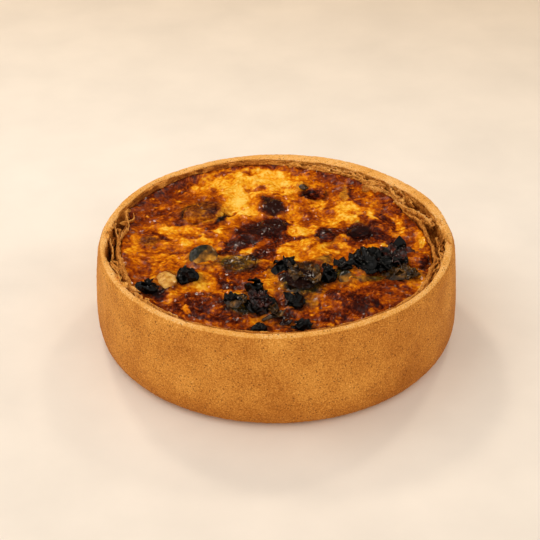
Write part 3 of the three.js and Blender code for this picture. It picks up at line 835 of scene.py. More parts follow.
def wilted_greens():
    """Wilted dark green leaf, oiled: olive black with brown patches."""
    return cooked(
        "wilted_oiled_greens",
        [(0.28, "#0e0a06"), (0.44, "#2a1c0e"), (0.56, "#4a3216"), (0.68, "#80561c")],
        4.0, {"Coat Weight": 0.45, "Coat Roughness": 0.08, "Coat IOR": 1.45}, 0.4, 0.25,
    )


def roast_courgette():
    """Roast courgette: translucent olive flesh with browned places inside a dark skin."""
    material, tree, shader, place = new_material(
        "roast_courgette",
        {**COOKED, "Specular IOR Level": 0.1, "Coat Weight": 0.4, "Coat Roughness": 0.1},
    )
    skin = add_node(tree, "Attribute", {"attribute_name": "skin"}).outputs["Fac"]
    blotch = add_node(tree, "TexNoise", {"Scale": per_mm(5), "Detail": 4.0}, {"Vector": place}).outputs[0]
    flesh, rind = (
        add_node(tree, "ValToRGB", {"stops": stops}, {"Fac": blotch}).outputs["Color"]
        for stops in (
            [(0.3, "#2a1a08"), (0.45, "#6a4412"), (0.58, "#a06a1a"), (0.72, "#d0962e")],
            [(0.35, "#0e0d08"), (0.5, "#201f14"), (0.7, "#4a4026")],
        )
    )
    whole = add_node(tree, "Mix", {"data_type": "RGBA"}, {0: skin, 6: flesh, 7: rind})
    set_surface(tree, shader, whole.outputs[2], blotch, 0.4, 0.3)
    return material


def roast_potato():
    """Roast potato: waxy pale yellow, browned in places."""
    return cooked(
        "roast_potato",
        [(0.3, "#9a5c18"), (0.46, "#c98e38"), (0.6, "#dfae58"), (0.76, "#e8c274")],
        4.0, {"Specular IOR Level": 0.1, "Coat Weight": 0.3, "Coat Roughness": 0.12}, 0.3, 0.25,
    )


def roast_vegetable():
    """Roasted vegetable skin, dark red-brown and glossy."""
    return cooked(
        "roast_vegetable_skin",
        [(0.3, "#080404"), (0.46, "#1e0c09"), (0.6, "#43190f"), (0.76, "#7a3214")],
        3.5, {"Coat Weight": 0.5, "Coat Roughness": 0.1}, 0.5, 0.3,
    )


def pale_stone(colour):
    """Honed pale limestone slab: warm cream with a faint cloud, and painted shade that darkens it towards
    its back right.
    """
    material, tree, shader, place = new_material("honed_limestone", {"Roughness": 0.7, "IOR": 1.5})
    cloud = add_node(tree, "TexNoise", {"Scale": per_mm(60), "Detail": 8.0}, {"Vector": place}).outputs[0]
    ramp = add_node(tree, "ValToRGB", {"stops": [(0.3, colour, 0.95), (0.7, colour, 1.04)]}, {"Fac": cloud})
    # painted shade: the slab is painted darker towards its back right, where less light falls
    parts = add_node(tree, "SeparateXYZ", links={"Vector": place}).outputs
    across = add_node(
        tree, "Math", {"operation": "MULTIPLY_ADD", 1: 0.2}, {0: parts["X"], 2: parts["Y"]}
    ).outputs[0]
    shade_share = add_node(tree, "MapRange", {"From Min": 0.134, "From Max": 0.61}, {"Value": across}).outputs[0]
    shaded_stone = add_node(
        tree, "Mix", {"data_type": "RGBA", "blend_type": "MULTIPLY", 7: linear("#d8ccbc")},
        {0: shade_share, 6: ramp.outputs["Color"]},
    )
    tree.links.new(shaded_stone.outputs[2], shader.inputs["Base Color"])
    return material


# ---------------------------------------------------------------- settings


class PastrySettings(bpy.types.PropertyGroup):
    rows: bpy.props.IntProperty(name="Sections", description="Sections round the case", default=900)
    grain: bpy.props.FloatProperty(
        name="Grain", description="Height of the pastry's sandy grain", default=0.12 * MM, unit="LENGTH"
    )
    pale: bpy.props.StringProperty(name="Pale", description="Palest pastry, sRGB hex", default="#df9d45")
    golden: bpy.props.StringProperty(name="Golden", description="Golden pastry, sRGB hex", default="#b87329")
    brown: bpy.props.StringProperty(name="Brown", description="Browned pastry, sRGB hex", default="#8a4a10")


class CustardSettings(bpy.types.PropertyGroup):
    cells: bpy.props.IntProperty(name="Cells", description="Faces across the custard", default=290)
    relief: bpy.props.FloatProperty(
        name="Relief", description="Height of the curds and wrinkles", default=1.1 * MM, unit="LENGTH"
    )
    # painted light and shade from the relief where the custard is pale; where it is dark, browner crests
    crests: bpy.props.FloatProperty(
        name="Crests", description="How much the browning follows the crests of the relief", default=1.0
    )
    cream: bpy.props.StringProperty(name="Cream", description="Palest custard, sRGB hex", default="#f2cb62")
    yellow: bpy.props.StringProperty(name="Yellow", description="Set custard, sRGB hex", default="#e8a520")
    orange: bpy.props.StringProperty(name="Orange", description="Just browned, sRGB hex", default="#d4780a")
    amber: bpy.props.StringProperty(name="Amber", description="Browned, sRGB hex", default="#a24a06")
    brown: bpy.props.StringProperty(name="Brown", description="Well browned, sRGB hex", default="#7a2e08")
    scorch: bpy.props.StringProperty(name="Scorch", description="Scorched film, sRGB hex", default="#26120e")


class ToppingSettings(bpy.types.PropertyGroup):
    voxel: bpy.props.FloatProperty(
        name="Facet", description="Size of the faces on the toppings", default=0.36 * MM, unit="LENGTH"
    )
    crags: bpy.props.FloatProperty(
        name="Crags", description="Depth of creases in the charred pieces", default=1.2 * MM, unit="LENGTH"
    )


class StageSettings(bpy.types.PropertyGroup):
    floor: bpy.props.StringProperty(name="Floor", description="Floor, sRGB hex", default="#ede5da")
    key: bpy.props.FloatProperty(name="Key", description="Main light", default=6.6, unit="POWER")
    fill: bpy.props.FloatProperty(name="Fill", description="Light from all round", default=1.15)


# ---------------------------------------------------------------- pieces


def crust_zones(row, z, marks):
    """How far each point of the case lies on its wall, rim, groove, leaf and face below the leaf."""
    foot, shoulder, lip, leaf, brink, leaf_foot, inside = marks
    return {
        "wall": smoothstep(z, 0.5, 4) * (row >= foot) * (row <= shoulder),
        "rim": (row > shoulder) & (row <= lip),
        "groove": (row > lip) & (row < leaf),
        "leaf": (row >= leaf) & (row <= leaf_foot),
        "inner": (row > brink) & (row <= inside),
    }


def case_browning_and_shade(cloud, r, z, degrees, zones, seam):
    """How dark each point of the case is, from 0 to 1: its baked browning, with painted shade and a painted
    highlight laid in.
    """
    toast = 0.42 + 0.05 * fractal(cloud, 30, 2, 31)
    # painted shade: one side of the outer wall is painted darker
    beside = np.abs(off_heading(degrees, SHADED_SIDE["heading"]))
    toast = toast + SHADED_SIDE["toast"] * smoothstep(SHADED_SIDE["reach"] - beside, 0, 30) * zones["wall"]
    # painted highlight: the top of the rim is painted paler; painted shade: the wall is painted darker
    # towards its foot
    toast = toast - 0.24 * zones["rim"] + 0.12 * (1 - smoothstep(z, 2, 26)) * zones["wall"]
    # painted shade: the groove is painted darker the deeper it goes
    toast = np.where(zones["groove"], 0.38 + 0.22 * smoothstep(HEIGHT - z, 2, 8), toast)
    toast = np.where(zones["inner"], lerp(0.85, 0.52, smoothstep(z, LEVEL + 1, LEVEL + 5.5)), toast)
    beside = np.abs(off_heading(degrees, DARK_INSIDE["heading"]))
    dark_inside = smoothstep(DARK_INSIDE["reach"] - beside, 0, 12) * smoothstep(RIM_RADIUS - r, 5.2, 8.5)
    toast = toast + 0.32 * dark_inside * smoothstep(noise(cloud / 5, 33), -0.6, 0.3)
    toast = toast + 0.2 * seam * (zones["leaf"] | zones["groove"]) + 0.05 * seam * zones["rim"]
    return np.clip(toast, 0, 1)


def pastry_case(settings):
    """Mesh of the whole case, turned from its sections, with grain, ragged edges and browning."""
    turns = settings.rows
    angle = np.arange(turns) * TURN / turns
    radius, height, marks = crust_rows(angle)
    around = radius.shape[1]
    turn = angle[:, None]
    cloud = np.stack([radius * np.cos(turn), radius * np.sin(turn), height], -1).reshape(-1, 3)
    faces = tube_faces(turns, around, closed=True)
    # a section isn't a loop, so no face joins its end to its start: both are closed beside the axis
    faces = [f for f in faces if (f[1] % around) != 0 and (f[2] % around) != 0]
    faces += [list(range(0, turns * around, around)), list(range(around - 1, turns * around, around))[::-1]]
    mesh = made_mesh("pastry_shell", cloud, [f[::-1] for f in faces])
    normal = vectors(mesh, "normal")

    r, z = np.hypot(cloud[:, 0], cloud[:, 1]), cloud[:, 2]
    row = np.tile(np.arange(around), turns)
    foot, lip = marks[0], marks[2]
    zones = crust_zones(row, z, marks)
    layers = zones["leaf"] | zones["groove"]
    swell = 0.22 * fractal(cloud, 18, 2, 11) * zones["wall"]
    sand = settings.grain / MM * fractal(cloud, 2.2, 2, 15) * (row >= foot) * (z > 0.3)
    turned = np.repeat(angle, around)
    layered = np.stack([turned * 100 / 9, r / 0.8, z / 1.4], 1)
    seam = smoothstep(0.3 - np.abs(noise(layered, 21)), 0, 0.3)
    laminae = (0.25 * zones["rim"] + 0.45 * layers) * seam
    loose = lerp(0.25, 1, np.repeat(smoothstep(station_at(angle)[1], 1.2, 3), around))
    rag = 0.8 * loose * crease(cloud, 3.0, 3, 25) * layers
    torn = loose * (layers | (row == lip)) * smoothstep(z, LEVEL - 2, LEVEL + 4)
    aside = torn * (0.7 * noise(cloud / 6, 26) + 0.5 * noise(cloud / 2.4, 27))
    push = swell + sand - laminae - rag + 0.12 * (zones["rim"] | zones["leaf"]) - 0.25 * zones["wall"]
    cloud = cloud + normal * push[:, None]
    cloud[:, :2] *= (1 + aside / np.maximum(r, 1))[:, None]
    cloud[:, 2] += torn * (0.5 * noise(cloud / 3, 28) - 0.2)
    cloud[:, 2] = np.where(row <= foot, 0.0, np.maximum(cloud[:, 2], 0.0))
    move_points(mesh, cloud)
    set_value(mesh, "toast", case_browning_and_shade(cloud, r, z, np.degrees(turned), zones, seam))
    return mesh


# Loose layers of pastry inside the rim: points as (degrees, radius), top, how deep and how thick.
FLAKES = (
    (((160.5, 93.6), (162.6, 91), (166.4, 87.7), (169.1, 85.7), (170.8, 85.4), (174.5, 86.2),
      (177.9, 88.1), (179, 88.5)), 56.6, 9, 0.85),
    (((170.5, 94.1), (173, 92.2), (176.1, 90.2), (178.7, 88.8)), 56, 9, 0.9),
    (((178, 93.7), (181.5, 92.9), (184.9, 92.1), (187.5, 91.7), (189.5, 92.2), (191.5, 93.2)), 55.8, 9, 0.9),
    (((41.1, 90.5), (38.9, 88.2), (36.7, 86.3), (33.6, 83.8)), 56.4, 6, 0.9),
    (((36.7, 86.3), (35.2, 89.4), (33, 89.8), (31.3, 89.1), (28.7, 85.6)), 56, 6, 0.8),
    (((33.6, 83.8), (30.4, 81.7), (28.4, 83.8), (26.5, 83.3)), 56.2, 6, 0.9),
    (((30.9, 80.8), (27, 82.2), (23.1, 82.1), (19.6, 84.5), (16.4, 86.9), (12.7, 89.1), (9.3, 90.1)),
     56.2, 7, 1.2),
    (((352.2, 90.9), (348.7, 92.1), (344.9, 93.7)), 55.6, 8, 0.8),
    (((0.8, 89.8), (0.7, 91), (359.4, 91.5), (358.6, 92.4)), 54.5, 7, 0.8),
    (((338.1, 93.2), (340, 94.3), (342.1, 94.9)), 55.8, 6, 0.8),
    (((78, 86.2), (74, 87.4), (70, 87.6), (64, 88.2), (58, 88.9), (52, 89.2)), 56, 5, 1.0),
    (((216, 93.6), (221, 94.6), (226, 94.2), (231, 95)), 55.4, 4, 1.0),
    (((222, 92.6), (227, 93), (233, 93.4)), 54.8, 4, 0.9),
)


def flake(path, top, deep, thick, seed):
    """Points and faces of a thin standing sheet of pastry with a torn top."""
    polar = np.array(path, dtype=float)
    polar[:, 0] = np.unwrap(np.radians(polar[:, 0]))
    flat = np.stack([polar[:, 1] * np.cos(polar[:, 0]), polar[:, 1] * np.sin(polar[:, 0])], 1)
    run = np.concatenate([[0], np.cumsum(np.linalg.norm(np.diff(flat, axis=0), axis=1))])
    step = 0.45  # millimetres from one section to the next
    count = max(8, int(run[-1] / step))
    at = np.linspace(0, run[-1], count)
    line = np.stack([np.interp(at, run, flat[:, k]) for k in (0, 1)], 1)
    for _ in range(6):
        line[1:-1] = 0.5 * line[1:-1] + 0.25 * (line[2:] + line[:-2])
    ahead = np.gradient(line, axis=0)
    ahead /= np.linalg.norm(ahead, axis=1)[:, None]
    aside = np.stack([-ahead[:, 1], ahead[:, 0]], 1)
    probe = np.stack([at, np.full(count, seed * 7.3), np.zeros(count)], 1)
    ends = np.minimum(1, np.minimum(at, run[-1] - at) / 1.5)
    crest = top + 1.5 * fractal(probe, 2.6, 3, 41, 0.65) - 1.2 * (1 - ends)
    half = thick / 2.5 * (0.8 + 0.5 * noise(probe / 2.5, 47)) * (0.35 + 0.65 * ends)
    levels = 12
    share = np.linspace(0, 1, levels)
    sections = []
    for sign in (1, -1):
        for k in (range(levels) if sign > 0 else range(levels - 1, -1, -1)):
            z = lerp(crest - deep, crest, share[k])
            place = np.stack([at, z, np.full(count, seed * 3.1)], 1)
            sway = 0.9 * noise(place / 4.5, 51) + 0.45 * noise(place / 1.6, 53)
            width = half * math.sqrt(max(0.12, 1 - share[k] ** 6)) * (1.2 - 0.2 * share[k])
            spot = line + aside * (sign * width + sway)[:, None]
            sections.append(np.column_stack([spot, z]))
    points = np.stack(sections, 1).reshape(-1, 3)
    around = 2 * levels
    faces = tube_faces(count, around)
    faces += [list(range(around))[::-1], list(range((count - 1) * around, count * around))]
    tips = np.tile(np.concatenate([share, share[::-1]]), count)
    return points, faces, tips


def patch_weights(rows, x, y):
    """Weight and value of each patch at the points of the plan."""
    for *patch, value, soft in rows:
        far = np.sqrt(oval(x, y, *patch))
        yield 1 / (1 + np.exp(np.minimum((far - 1) / soft * 2.2, 80))), value


def tints(x, y, z):
    """Browning, scorch and herb tint laid on the custard, and the warped places that shape its relief."""
    seen = y + LEAN * (z - LEVEL - 0.5)  # the patches lie on a level plane, seen over the slopes
    spot = np.stack([x, seen, np.zeros_like(x)], 1)
    bend = np.stack([fractal(spot, 12, 3, 61), fractal(spot, 12, 3, 66), np.zeros_like(x)], 1) * 2.2
    bend[:, 0] += 0.7 * fractal(spot, 3, 2, 71)
    bend[:, 1] += 0.7 * fractal(spot, 3, 2, 75)
    px, py = (spot + bend)[:, :2].T

    brown = 0.38 + 0.1 * fractal(spot, 20, 2, 79)
    degrees, out = np.degrees(np.arctan2(py, px)), np.hypot(px, py)
    for start, end, inner, value, soft in EDGES:
        middle, half = (start + end) / 2, (end - start) / 2
        off = np.abs(off_heading(degrees, middle))
        weight = smoothstep(half + 4 - off, 0, 8) / (1 + np.exp((inner - out) / soft * 1.6))
        brown = lerp(brown, value, weight)
    for weight, value in patch_weights(PATCHES, px, py):
        brown = lerp(brown, value, weight)
    scorch, herb = np.zeros_like(x), np.zeros_like(x)
    for weight, value in patch_weights(SCORCH, px, py):
        scorch = np.maximum(scorch, weight * value)
    for weight, value in patch_weights(HERBS, px, py):
        herb = np.maximum(herb, weight * value)
    return brown, scorch, herb, spot + 0.6 * bend


def skin_relief(bent, brown, scorch):
    """Relief in millimetres of curds where pale and of leathery folds where dark, and its browning with
    painted shade in the relief's hollows.
    """
    dark = smoothstep(brown, 0.42, 0.62)
    film = 1 - 0.7 * smoothstep(scorch, 0.35, 0.8)  # scorched film evens out the folds
    swell = fractal(bent, 16, 3, 81)
    near, luck = cells(bent + 1.5 * noise(bent / 4, 83)[:, None], 9.0, 84)
    domes = np.clip(1 - (near / 0.85) ** 2, 0, 1)
    flow = bent + 2.5 * np.stack([noise(bent / 11, 88), noise(bent / 11, 89), np.zeros(len(bent))], 1)
    folds = crease(flow * (1, 1.6, 1), 9.0, 2, 92, 0.4)
    wrinkles = crease(flow * (1, 1.5, 1), 2.6, 2, 94, 0.5)
    pits = smoothstep(noise(bent / 4, 96) + 0.35 * noise(bent / 1.6, 97), 0.44, 0.6)
    window = dark * pits * film  # places where the brown skin is torn and paler custard shows
    rise = 1.3 * swell + lerp(0.9, 0.2, dark) * (domes - 0.5) + lerp(0.3, 0.12, dark) * noise(bent / 3.2, 99)
    rise = rise + lerp(0.1, 1.1, dark) * film * (folds - 0.35) - 0.35 * window
    rise = rise + lerp(0.05, 0.35, dark) * (wrinkles - 0.4)
    # painted shade: where pale, the hollows between the curds are painted browner than their tops
    brown = brown + 0.09 * fractal(bent, 8, 4, 103, 0.65) + 0.08 * (1 - dark) * (0.5 - domes)
    net = crease(flow * (1, 1.3, 1), 5.0, 2, 115, 0.5)
    brown = brown + 0.26 * (0.34 - net) * smoothstep(brown, 0.14, 0.34) * (1 - 0.6 * dark)
    singed = smoothstep(noise(bent / 7, 107) + 0.3 * noise(bent / 2.4, 108), 0.42, 0.7)
    freckle = (luck > 0.6) * (1 - smoothstep(near, 0.04, 0.2))
    blisters = smoothstep(noise(bent / 3.4, 111) + 0.4 * noise(bent / 1.5, 112), 0.2, 0.6)
    blisters = blisters * smoothstep(noise(bent / 13, 113), -0.2, 0.3) * (1 - dark)
    rise = rise + 0.3 * blisters
    brown = brown + (0.14 * freckle + 0.12 * singed) * (1 - dark) + 0.16 * blisters - 0.22 * window
    # painted shade: where dark, the valleys of the folds and wrinkles are painted darker
    brown = brown + 0.2 * dark * film * (0.35 - folds) + 0.3 * dark * (0.38 - wrinkles)
    torn = smoothstep(brown, 0.3, 0.62)
    sharper = 0.3 + 0.32 * torn
    brown = np.where((brown > 0.3) & (brown < 0.62), lerp(brown, sharper, 0.15), brown)
    return rise, np.clip(brown, 0, 1)


def proud(height, reach):
    """How far each place of a grid of heights stands above those round it, in millimetres."""
    blurred = height
    for _ in range(reach * 2):
        padded = np.pad(blurred, 1, mode="edge")
        rows = (padded[:-2] + 2 * padded[1:-1] + padded[2:]) / 4
        blurred = (rows[:, :-2] + 2 * rows[:, 1:-1] + rows[:, 2:]) / 4
    return height - blurred


def huddle(x, y):
    """How close each place of the plan is to the foot of a topping, from 0 to 1."""
    close = np.zeros_like(x)
    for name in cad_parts:
        if name in ("pastry_case", "custard_filling"):
            continue
        low, high = (np.array(corner[:2]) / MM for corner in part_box(name))
        middle, half = (low + high) / 2, (high - low) / 2
        gap = (np.sqrt(oval(x, y, *middle, *half, 0)) - 0.98) * half.min()
        close = np.maximum(close, np.exp(-((gap / 1.6) ** 2)))
    return close


def disc_grid(cells_across):
    """Square grid bent to a disc: each point's angle and its share of the radius."""
    grid = np.linspace(-1, 1, cells_across + 1)
    a, b = (m.ravel() for m in np.meshgrid(grid, grid, indexing="ij"))
    wide = np.abs(a) > np.abs(b)
    reach = np.where(wide, a, b)
    with np.errstate(divide="ignore", invalid="ignore"):
        turn = np.where(wide, np.pi / 4 * b / a, np.pi / 2 - np.pi / 4 * a / b)
    turn = np.where(reach == 0, 0, turn)
    return np.where(reach < 0, turn + np.pi, turn), np.abs(reach)


def custard_mesh(settings):
    """Closed mesh of the custard: an even grid over its top, with the side and underside below."""
    side = settings.cells + 1
    angle, share = disc_grid(settings.cells)
    mouth = inner_face(angle)[1][0] - 0.3
    x, y = share * mouth * np.cos(angle), share * mouth * np.sin(angle)
    z = custard_level(x, y)
    brown, scorch, herb, bent = tints(x, y, z)
    rise, brown = skin_relief(bent, brown, scorch)
    close = huddle(x, y)
    z = z + (settings.relief / MM * rise + 0.8 * close) * smoothstep(1 - share, 0, 0.02)
    dark = smoothstep(brown, 0.4, 0.6)
    # where the custard is pale, crests are painted paler and hollows browner: painted light and shade from
    # the relief; where it is dark, crests are browner
    crest = proud(z.reshape(side, side), 6).ravel()
    brown = brown + 0.14 * close + settings.crests * lerp(-0.1, 0.07, dark) * crest

    index = np.arange(side ** 2).reshape(side, side)
    faces = np.stack([index[:-1, :-1], index[1:, :-1], index[1:, 1:], index[:-1, 1:]], -1).reshape(-1, 4)
    faces = faces.tolist()
    rim = np.concatenate([index[:-1, 0], index[-1, :-1], index[:0:-1, -1], index[0, :0:-1]])
    points, upper = [np.column_stack([x, y, z])], rim
    levels = inner_face(angle[rim])[2:]
    beside, under = 0.4, (0, 0, 0, 0.45)  # gap that the custard keeps to the pastry's side and floor
    for key, ((r, level), gap) in enumerate(zip(levels, under)):
        r, level = r - beside, level + gap
        points.append(np.column_stack([r * np.cos(angle[rim]), r * np.sin(angle[rim]), level]))
        lower = np.arange(len(rim)) + side ** 2 + key * len(rim)
        faces += np.stack([np.roll(upper, -1), upper, lower, np.roll(lower, -1)], 1).tolist()
        upper = lower
    faces.append(upper[::-1].tolist())
    mesh = made_mesh("baked_custard", np.concatenate(points), faces)
    below = np.ones(len(levels) * len(rim))
    set_value(mesh, "browning", np.concatenate([np.clip(brown, 0, 1), 0.4 * below]))
    set_value(mesh, "scorch", np.concatenate([scorch, 0 * below]))
    set_value(mesh, "herb", np.concatenate([np.clip(herb + 0.35 * close, 0, 1), 0 * below]))
    return mesh


# Charred lumps, and the depth of their creases as a share of the full depth.
CHARRED = (
    ("charred_greens_left", 1.0), ("charred_greens_edge", 1.0), ("charred_knob_centre", 0.8),
    ("charred_bulb_front", 1.0), ("charred_greens_front", 0.9), ("charred_chip_front", 0.6),
    ("charred_chip_rim", 0.7), ("flake_front", 0.7),
)
# Leaves, their slots, and how deeply they are crumpled.
LEAVES = (
    ("leaf_large", "char", 1.7), ("leaf_centre", "char", 0.9), ("leaf_hooked", "char", 0.9),
    ("leaf_tip_right", "char", 0.8), ("leaf_right_front", "greens", 1.1),
    ("leaf_front_left", "greens", 0.8), ("shred_front", "greens", 0.5), ("leaf_back", "greens", 0.4),
    ("leaf_rim_front", "roast", 0.4),
)
# Slices of courgette, and the heading in degrees of the side on which their skin shows.
SLICES = (("courgette_slice_left", 140), ("courgette_wedge_centre", 100))
# Pieces under the custard's browned skin, their slots, and how much darker than it they have baked.
COVERED = (
    ("courgette_slice_back", "courgette", 0.0),
    ("courgette_slice_sunk", "courgette", 0.2),
    ("greens_clump_centre", "greens", 0.2),
    ("roast_knob_small", "roast", 0.1),
    ("roast_knob_large", "roast", 0.2),
    ("roast_piece_back", "roast", 0.1),
    ("roast_clump_right", "roast", 0.15),
)


def craggy(node, voxel, depth, size, seed, levels=0):
    """Craggy mesh of a topping: sharp creases cut into a slightly swollen lump."""
    mesh, spot, normal = grown(node, voxel, levels)
    bend = np.stack([noise(spot / 3, seed + k) for k in (1, 2, 3)], 1)
    folds = crease(spot + 0.8 * bend, size, 2, seed, 0.35)
    push = depth * (0.7 - 1.2 * folds) + 0.12 * depth * noise(spot / 1.2, seed + 9)
    move_points(mesh, spot + normal * push[:, None])
    return mesh


# Materials of the toppings that have scraps, by slot.
FINISHES = {
    "char": "charred_oily_greens",
    "greens": "wilted_oiled_greens",
    "roast": "roast_vegetable_skin",
}

# Scraps of leaf over the toppings: middle of the clump, its half length and half width, how many, their
# size, how far they lean in degrees, and their slot.
SCRAPS = (
    (49, -20, 8, 6, 4, 6.2, 30, "char"),
    (68, -27, 5, 3, 2, 5.2, 30, "char"),
    (60, -31, 14, 3, 3, 4.0, 35, "char"),
    (68.5, -8, 2, 2, 2, 3.2, 75, "char"),
    (-48.5, -35.5, 3, 3, 2, 3.2, 50, "char"),
    (-69, -45.5, 3.4, 2, 2, 2.8, 40, "char"),
    (28.5, -35.5, 3.4, 3.6, 3, 3.4, 55, "char"),
    (9.5, -62.5, 2.4, 4, 3, 3.2, 50, "char"),
    (-12, -50.5, 2.6, 3, 3, 3.4, 65, "char"),
    (-21, -64, 4, 5, 3, 3.8, 35, "char"),
    (13, -82, 4, 1.6, 3, 2.6, 35, "char"),
    (-9.5, -84, 2, 1.2, 1, 2.2, 30, "char"),
    (3, -27, 5, 4, 2, 3.8, 40, "char"),
    (38, -28, 4, 2, 2, 3.4, 40, "char"),
    (-10, -56, 4, 3, 3, 3.6, 40, "char"),
    (-8, -63, 5, 4, 5, 3.6, 30, "roast"),
    (15, -30, 9, 6, 4, 4.6, 18, "greens"),
    (13, -43, 8, 7, 4, 4.6, 15, "greens"),
    (66, -36, 8, 3, 5, 3.4, 40, "greens"),
    (67, -18, 8, 8, 7, 6.0, 22, "roast"),
    (0, -71, 6, 4, 3, 3.4, 25, "greens"),
)


# Torn crumbs of pastry inside the rim: from and to in degrees, inner and outer radius, how many, their
# size, and the height of their tops.
CRUMBS = (
    (160, 173, 86.5, 95, 3, 2.6, 56),
    (172, 190, 88.5, 96, 3, 3.0, 56),
    (190, 214, 90, 96, 7, 3.2, 55.5),
    (212, 238, 92, 95.6, 12, 2.2, 55.2),
    (328, 342, 92.5, 95.5, 6, 1.5, 55.6),
    (340, 360, 90, 95.6, 14, 2.2, 55.8),
    (0, 20, 89, 94, 6, 2.6, 55.0),
    (20, 52, 81, 91, 15, 2.7, 55.6),
    (50, 88, 84.5, 90.5, 15, 1.8, 56.2),
)


def ruffled(middle, radius, turned, seed, long=1.2):
    """Points and faces of a thin crumpled scrap of leaf or pastry with a torn and ruffled edge."""
    rings, spokes = 5, 22
    angle = np.arange(spokes) * TURN / spokes
    probe = np.stack([np.cos(angle), np.sin(angle), np.full(spokes, 1.7 * seed)], 1)
    outline = 1 + 0.4 * noise(1.2 * probe, 701) + 0.1 * noise(2.9 * probe, 702)
    share = np.linspace(0.25, 1, rings)[:, None]
    u = long * share * outline * np.cos(angle)
    v = 0.75 * share * outline * np.sin(angle)
    place = np.stack([u.ravel(), v.ravel(), np.full(u.size, 2.3 * seed)], 1)
    ruffles = 0.3 * share ** 2 * np.sin((3 + seed % 3) * angle + seed)
    curl = lerp(-0.5, 0.6, chance(seed + 0.5)) * (1.2 * u / long) ** 2
    w = ruffles + curl + 0.35 * noise(1.5 * place, 703).reshape(u.shape)
    sheet = np.stack([u.ravel(), v.ravel(), w.ravel()], 1) * radius
    sheet = np.concatenate([[[0, 0, sheet[:spokes, 2].mean()]], sheet])
    count = len(sheet)
    thin = 0.22  # half the scrap's thickness
    layers = [sheet + (0, 0, side * thin) for side in (1, -1)]
    spoke = np.arange(spokes)
    after = (spoke + 1) % spokes
    above = np.stack([np.zeros_like(spoke), 1 + spoke, 1 + after], 1).tolist()
    for ring in range(rings - 1):
        a = 1 + ring * spokes
        above += np.stack([a + spoke, a + spokes + spoke, a + spokes + after, a + after], 1).tolist()
    below = [[v + count for v in f[::-1]] for f in above]
    edge = 1 + (rings - 1) * spokes
    border = np.stack([edge + spoke, edge + spoke + count, edge + after + count, edge + after], 1).tolist()
    points = np.concatenate(layers) @ np.array(turned).T + middle
    points[:, 2] = np.minimum(points[:, 2], TOP)
    return points, above + below + border


class QUICHE_OT_pastry_case(bpy.types.Operator):
    """Makes the pastry case"""

    bl_idname = "quiche.pastry_case"
    bl_label = "Pastry case"

    def execute(self, context):
        settings = context.scene.quiche_pastry
        add_piece(pastry_case(settings), shortcrust(settings), ["pastry_case"])
        return {"FINISHED"}


class QUICHE_OT_pastry_flakes(bpy.types.Operator):
    """Makes the loose flaky layers inside the rim"""

    bl_idname = "quiche.pastry_flakes"
    bl_label = "Flaky layers"

    def execute(self, context):
        sheets = [flake(*row, seed) for seed, row in enumerate(FLAKES)]
        mesh = made_mesh("pastry_flakes", *merged([(points, faces) for points, faces, _ in sheets]))
        tips = np.concatenate([tips for _, _, tips in sheets])
        # painted shade: each flake is painted darker towards its foot, down in the gap, and paler at its top
        set_value(mesh, "toast", lerp(0.74, 0.22, smoothstep(tips, 0.55, 0.95)))
        add_piece(mesh, bpy.data.materials["baked_shortcrust"])
        return {"FINISHED"}


class QUICHE_OT_pastry_crumbs(bpy.types.Operator):
    """Stands torn crumbs of the flaky layers in the gaps inside the rim"""

    bl_idname = "quiche.pastry_crumbs"
    bl_label = "Pastry crumbs"

    def execute(self, context):
        context.view_layer.update()
        graph = context.evaluated_depsgraph_get()
        crumbs, toast, seed = [], [], 0
        for start, end, inner, outer, count, size, top in CRUMBS:
            for _ in range(count):
                seed += 1
                luck = chance(seed * 11 + 5000 + np.arange(6))
                angle, r = math.radians(lerp(start, end, luck[0])), lerp(inner, outer, luck[1])
                x, y = r * math.cos(angle), r * math.sin(angle)
                radius = size * lerp(0.55, 1.2, luck[2])
                ground = landing(context, graph, x, y)[2]
                z = max(ground + 0.1 * radius, top - 0.6 * radius - 2.6 * luck[3])
                yaw, lean = lerp(-0.4, 0.4, luck[4]), lerp(-0.5, 0.5, luck[5])
                turned = Matrix.Rotation(angle + math.pi / 2 + yaw, 3, "Z")
                turned = turned @ Matrix.Rotation(math.pi / 2 + lean, 3, "X")
                cloud, faces = ruffled((x, y, z), radius, turned, seed + 400, 2.1)
                crumbs.append((cloud, faces))
                # painted shade: each crumb is painted darker the lower it stands in the gap
                toast.append(lerp(0.66, 0.3, smoothstep(cloud[:, 2], top - 3.5, top)))
        mesh = made_mesh("pastry_crumbs", *merged(crumbs))
        set_value(mesh, "toast", np.concatenate(toast))
        add_piece(mesh, bpy.data.materials["baked_shortcrust"])
        return {"FINISHED"}


class QUICHE_OT_custard(bpy.types.Operator):
    """Makes the custard with its browned top"""

    bl_idname = "quiche.custard"
    bl_label = "Custard"

    def execute(self, context):
        settings = context.scene.quiche_custard
        add_piece(custard_mesh(settings), baked_custard(settings), ["custard_filling"])
        return {"FINISHED"}


class QUICHE_OT_charred_pieces(bpy.types.Operator):
    """Makes the charred lumps"""

    bl_idname = "quiche.charred_pieces"
    bl_label = "Charred pieces"

    def execute(self, context):
        settings = context.scene.quiche_toppings
        black = charred_leaf()
        for seed, (node, depth) in enumerate(CHARRED):
            mesh = craggy(node, settings.voxel / MM, settings.crags / MM * depth, 5.4, 110 + 20 * seed)
            add_piece(mesh, black, [node])
        return {"FINISHED"}


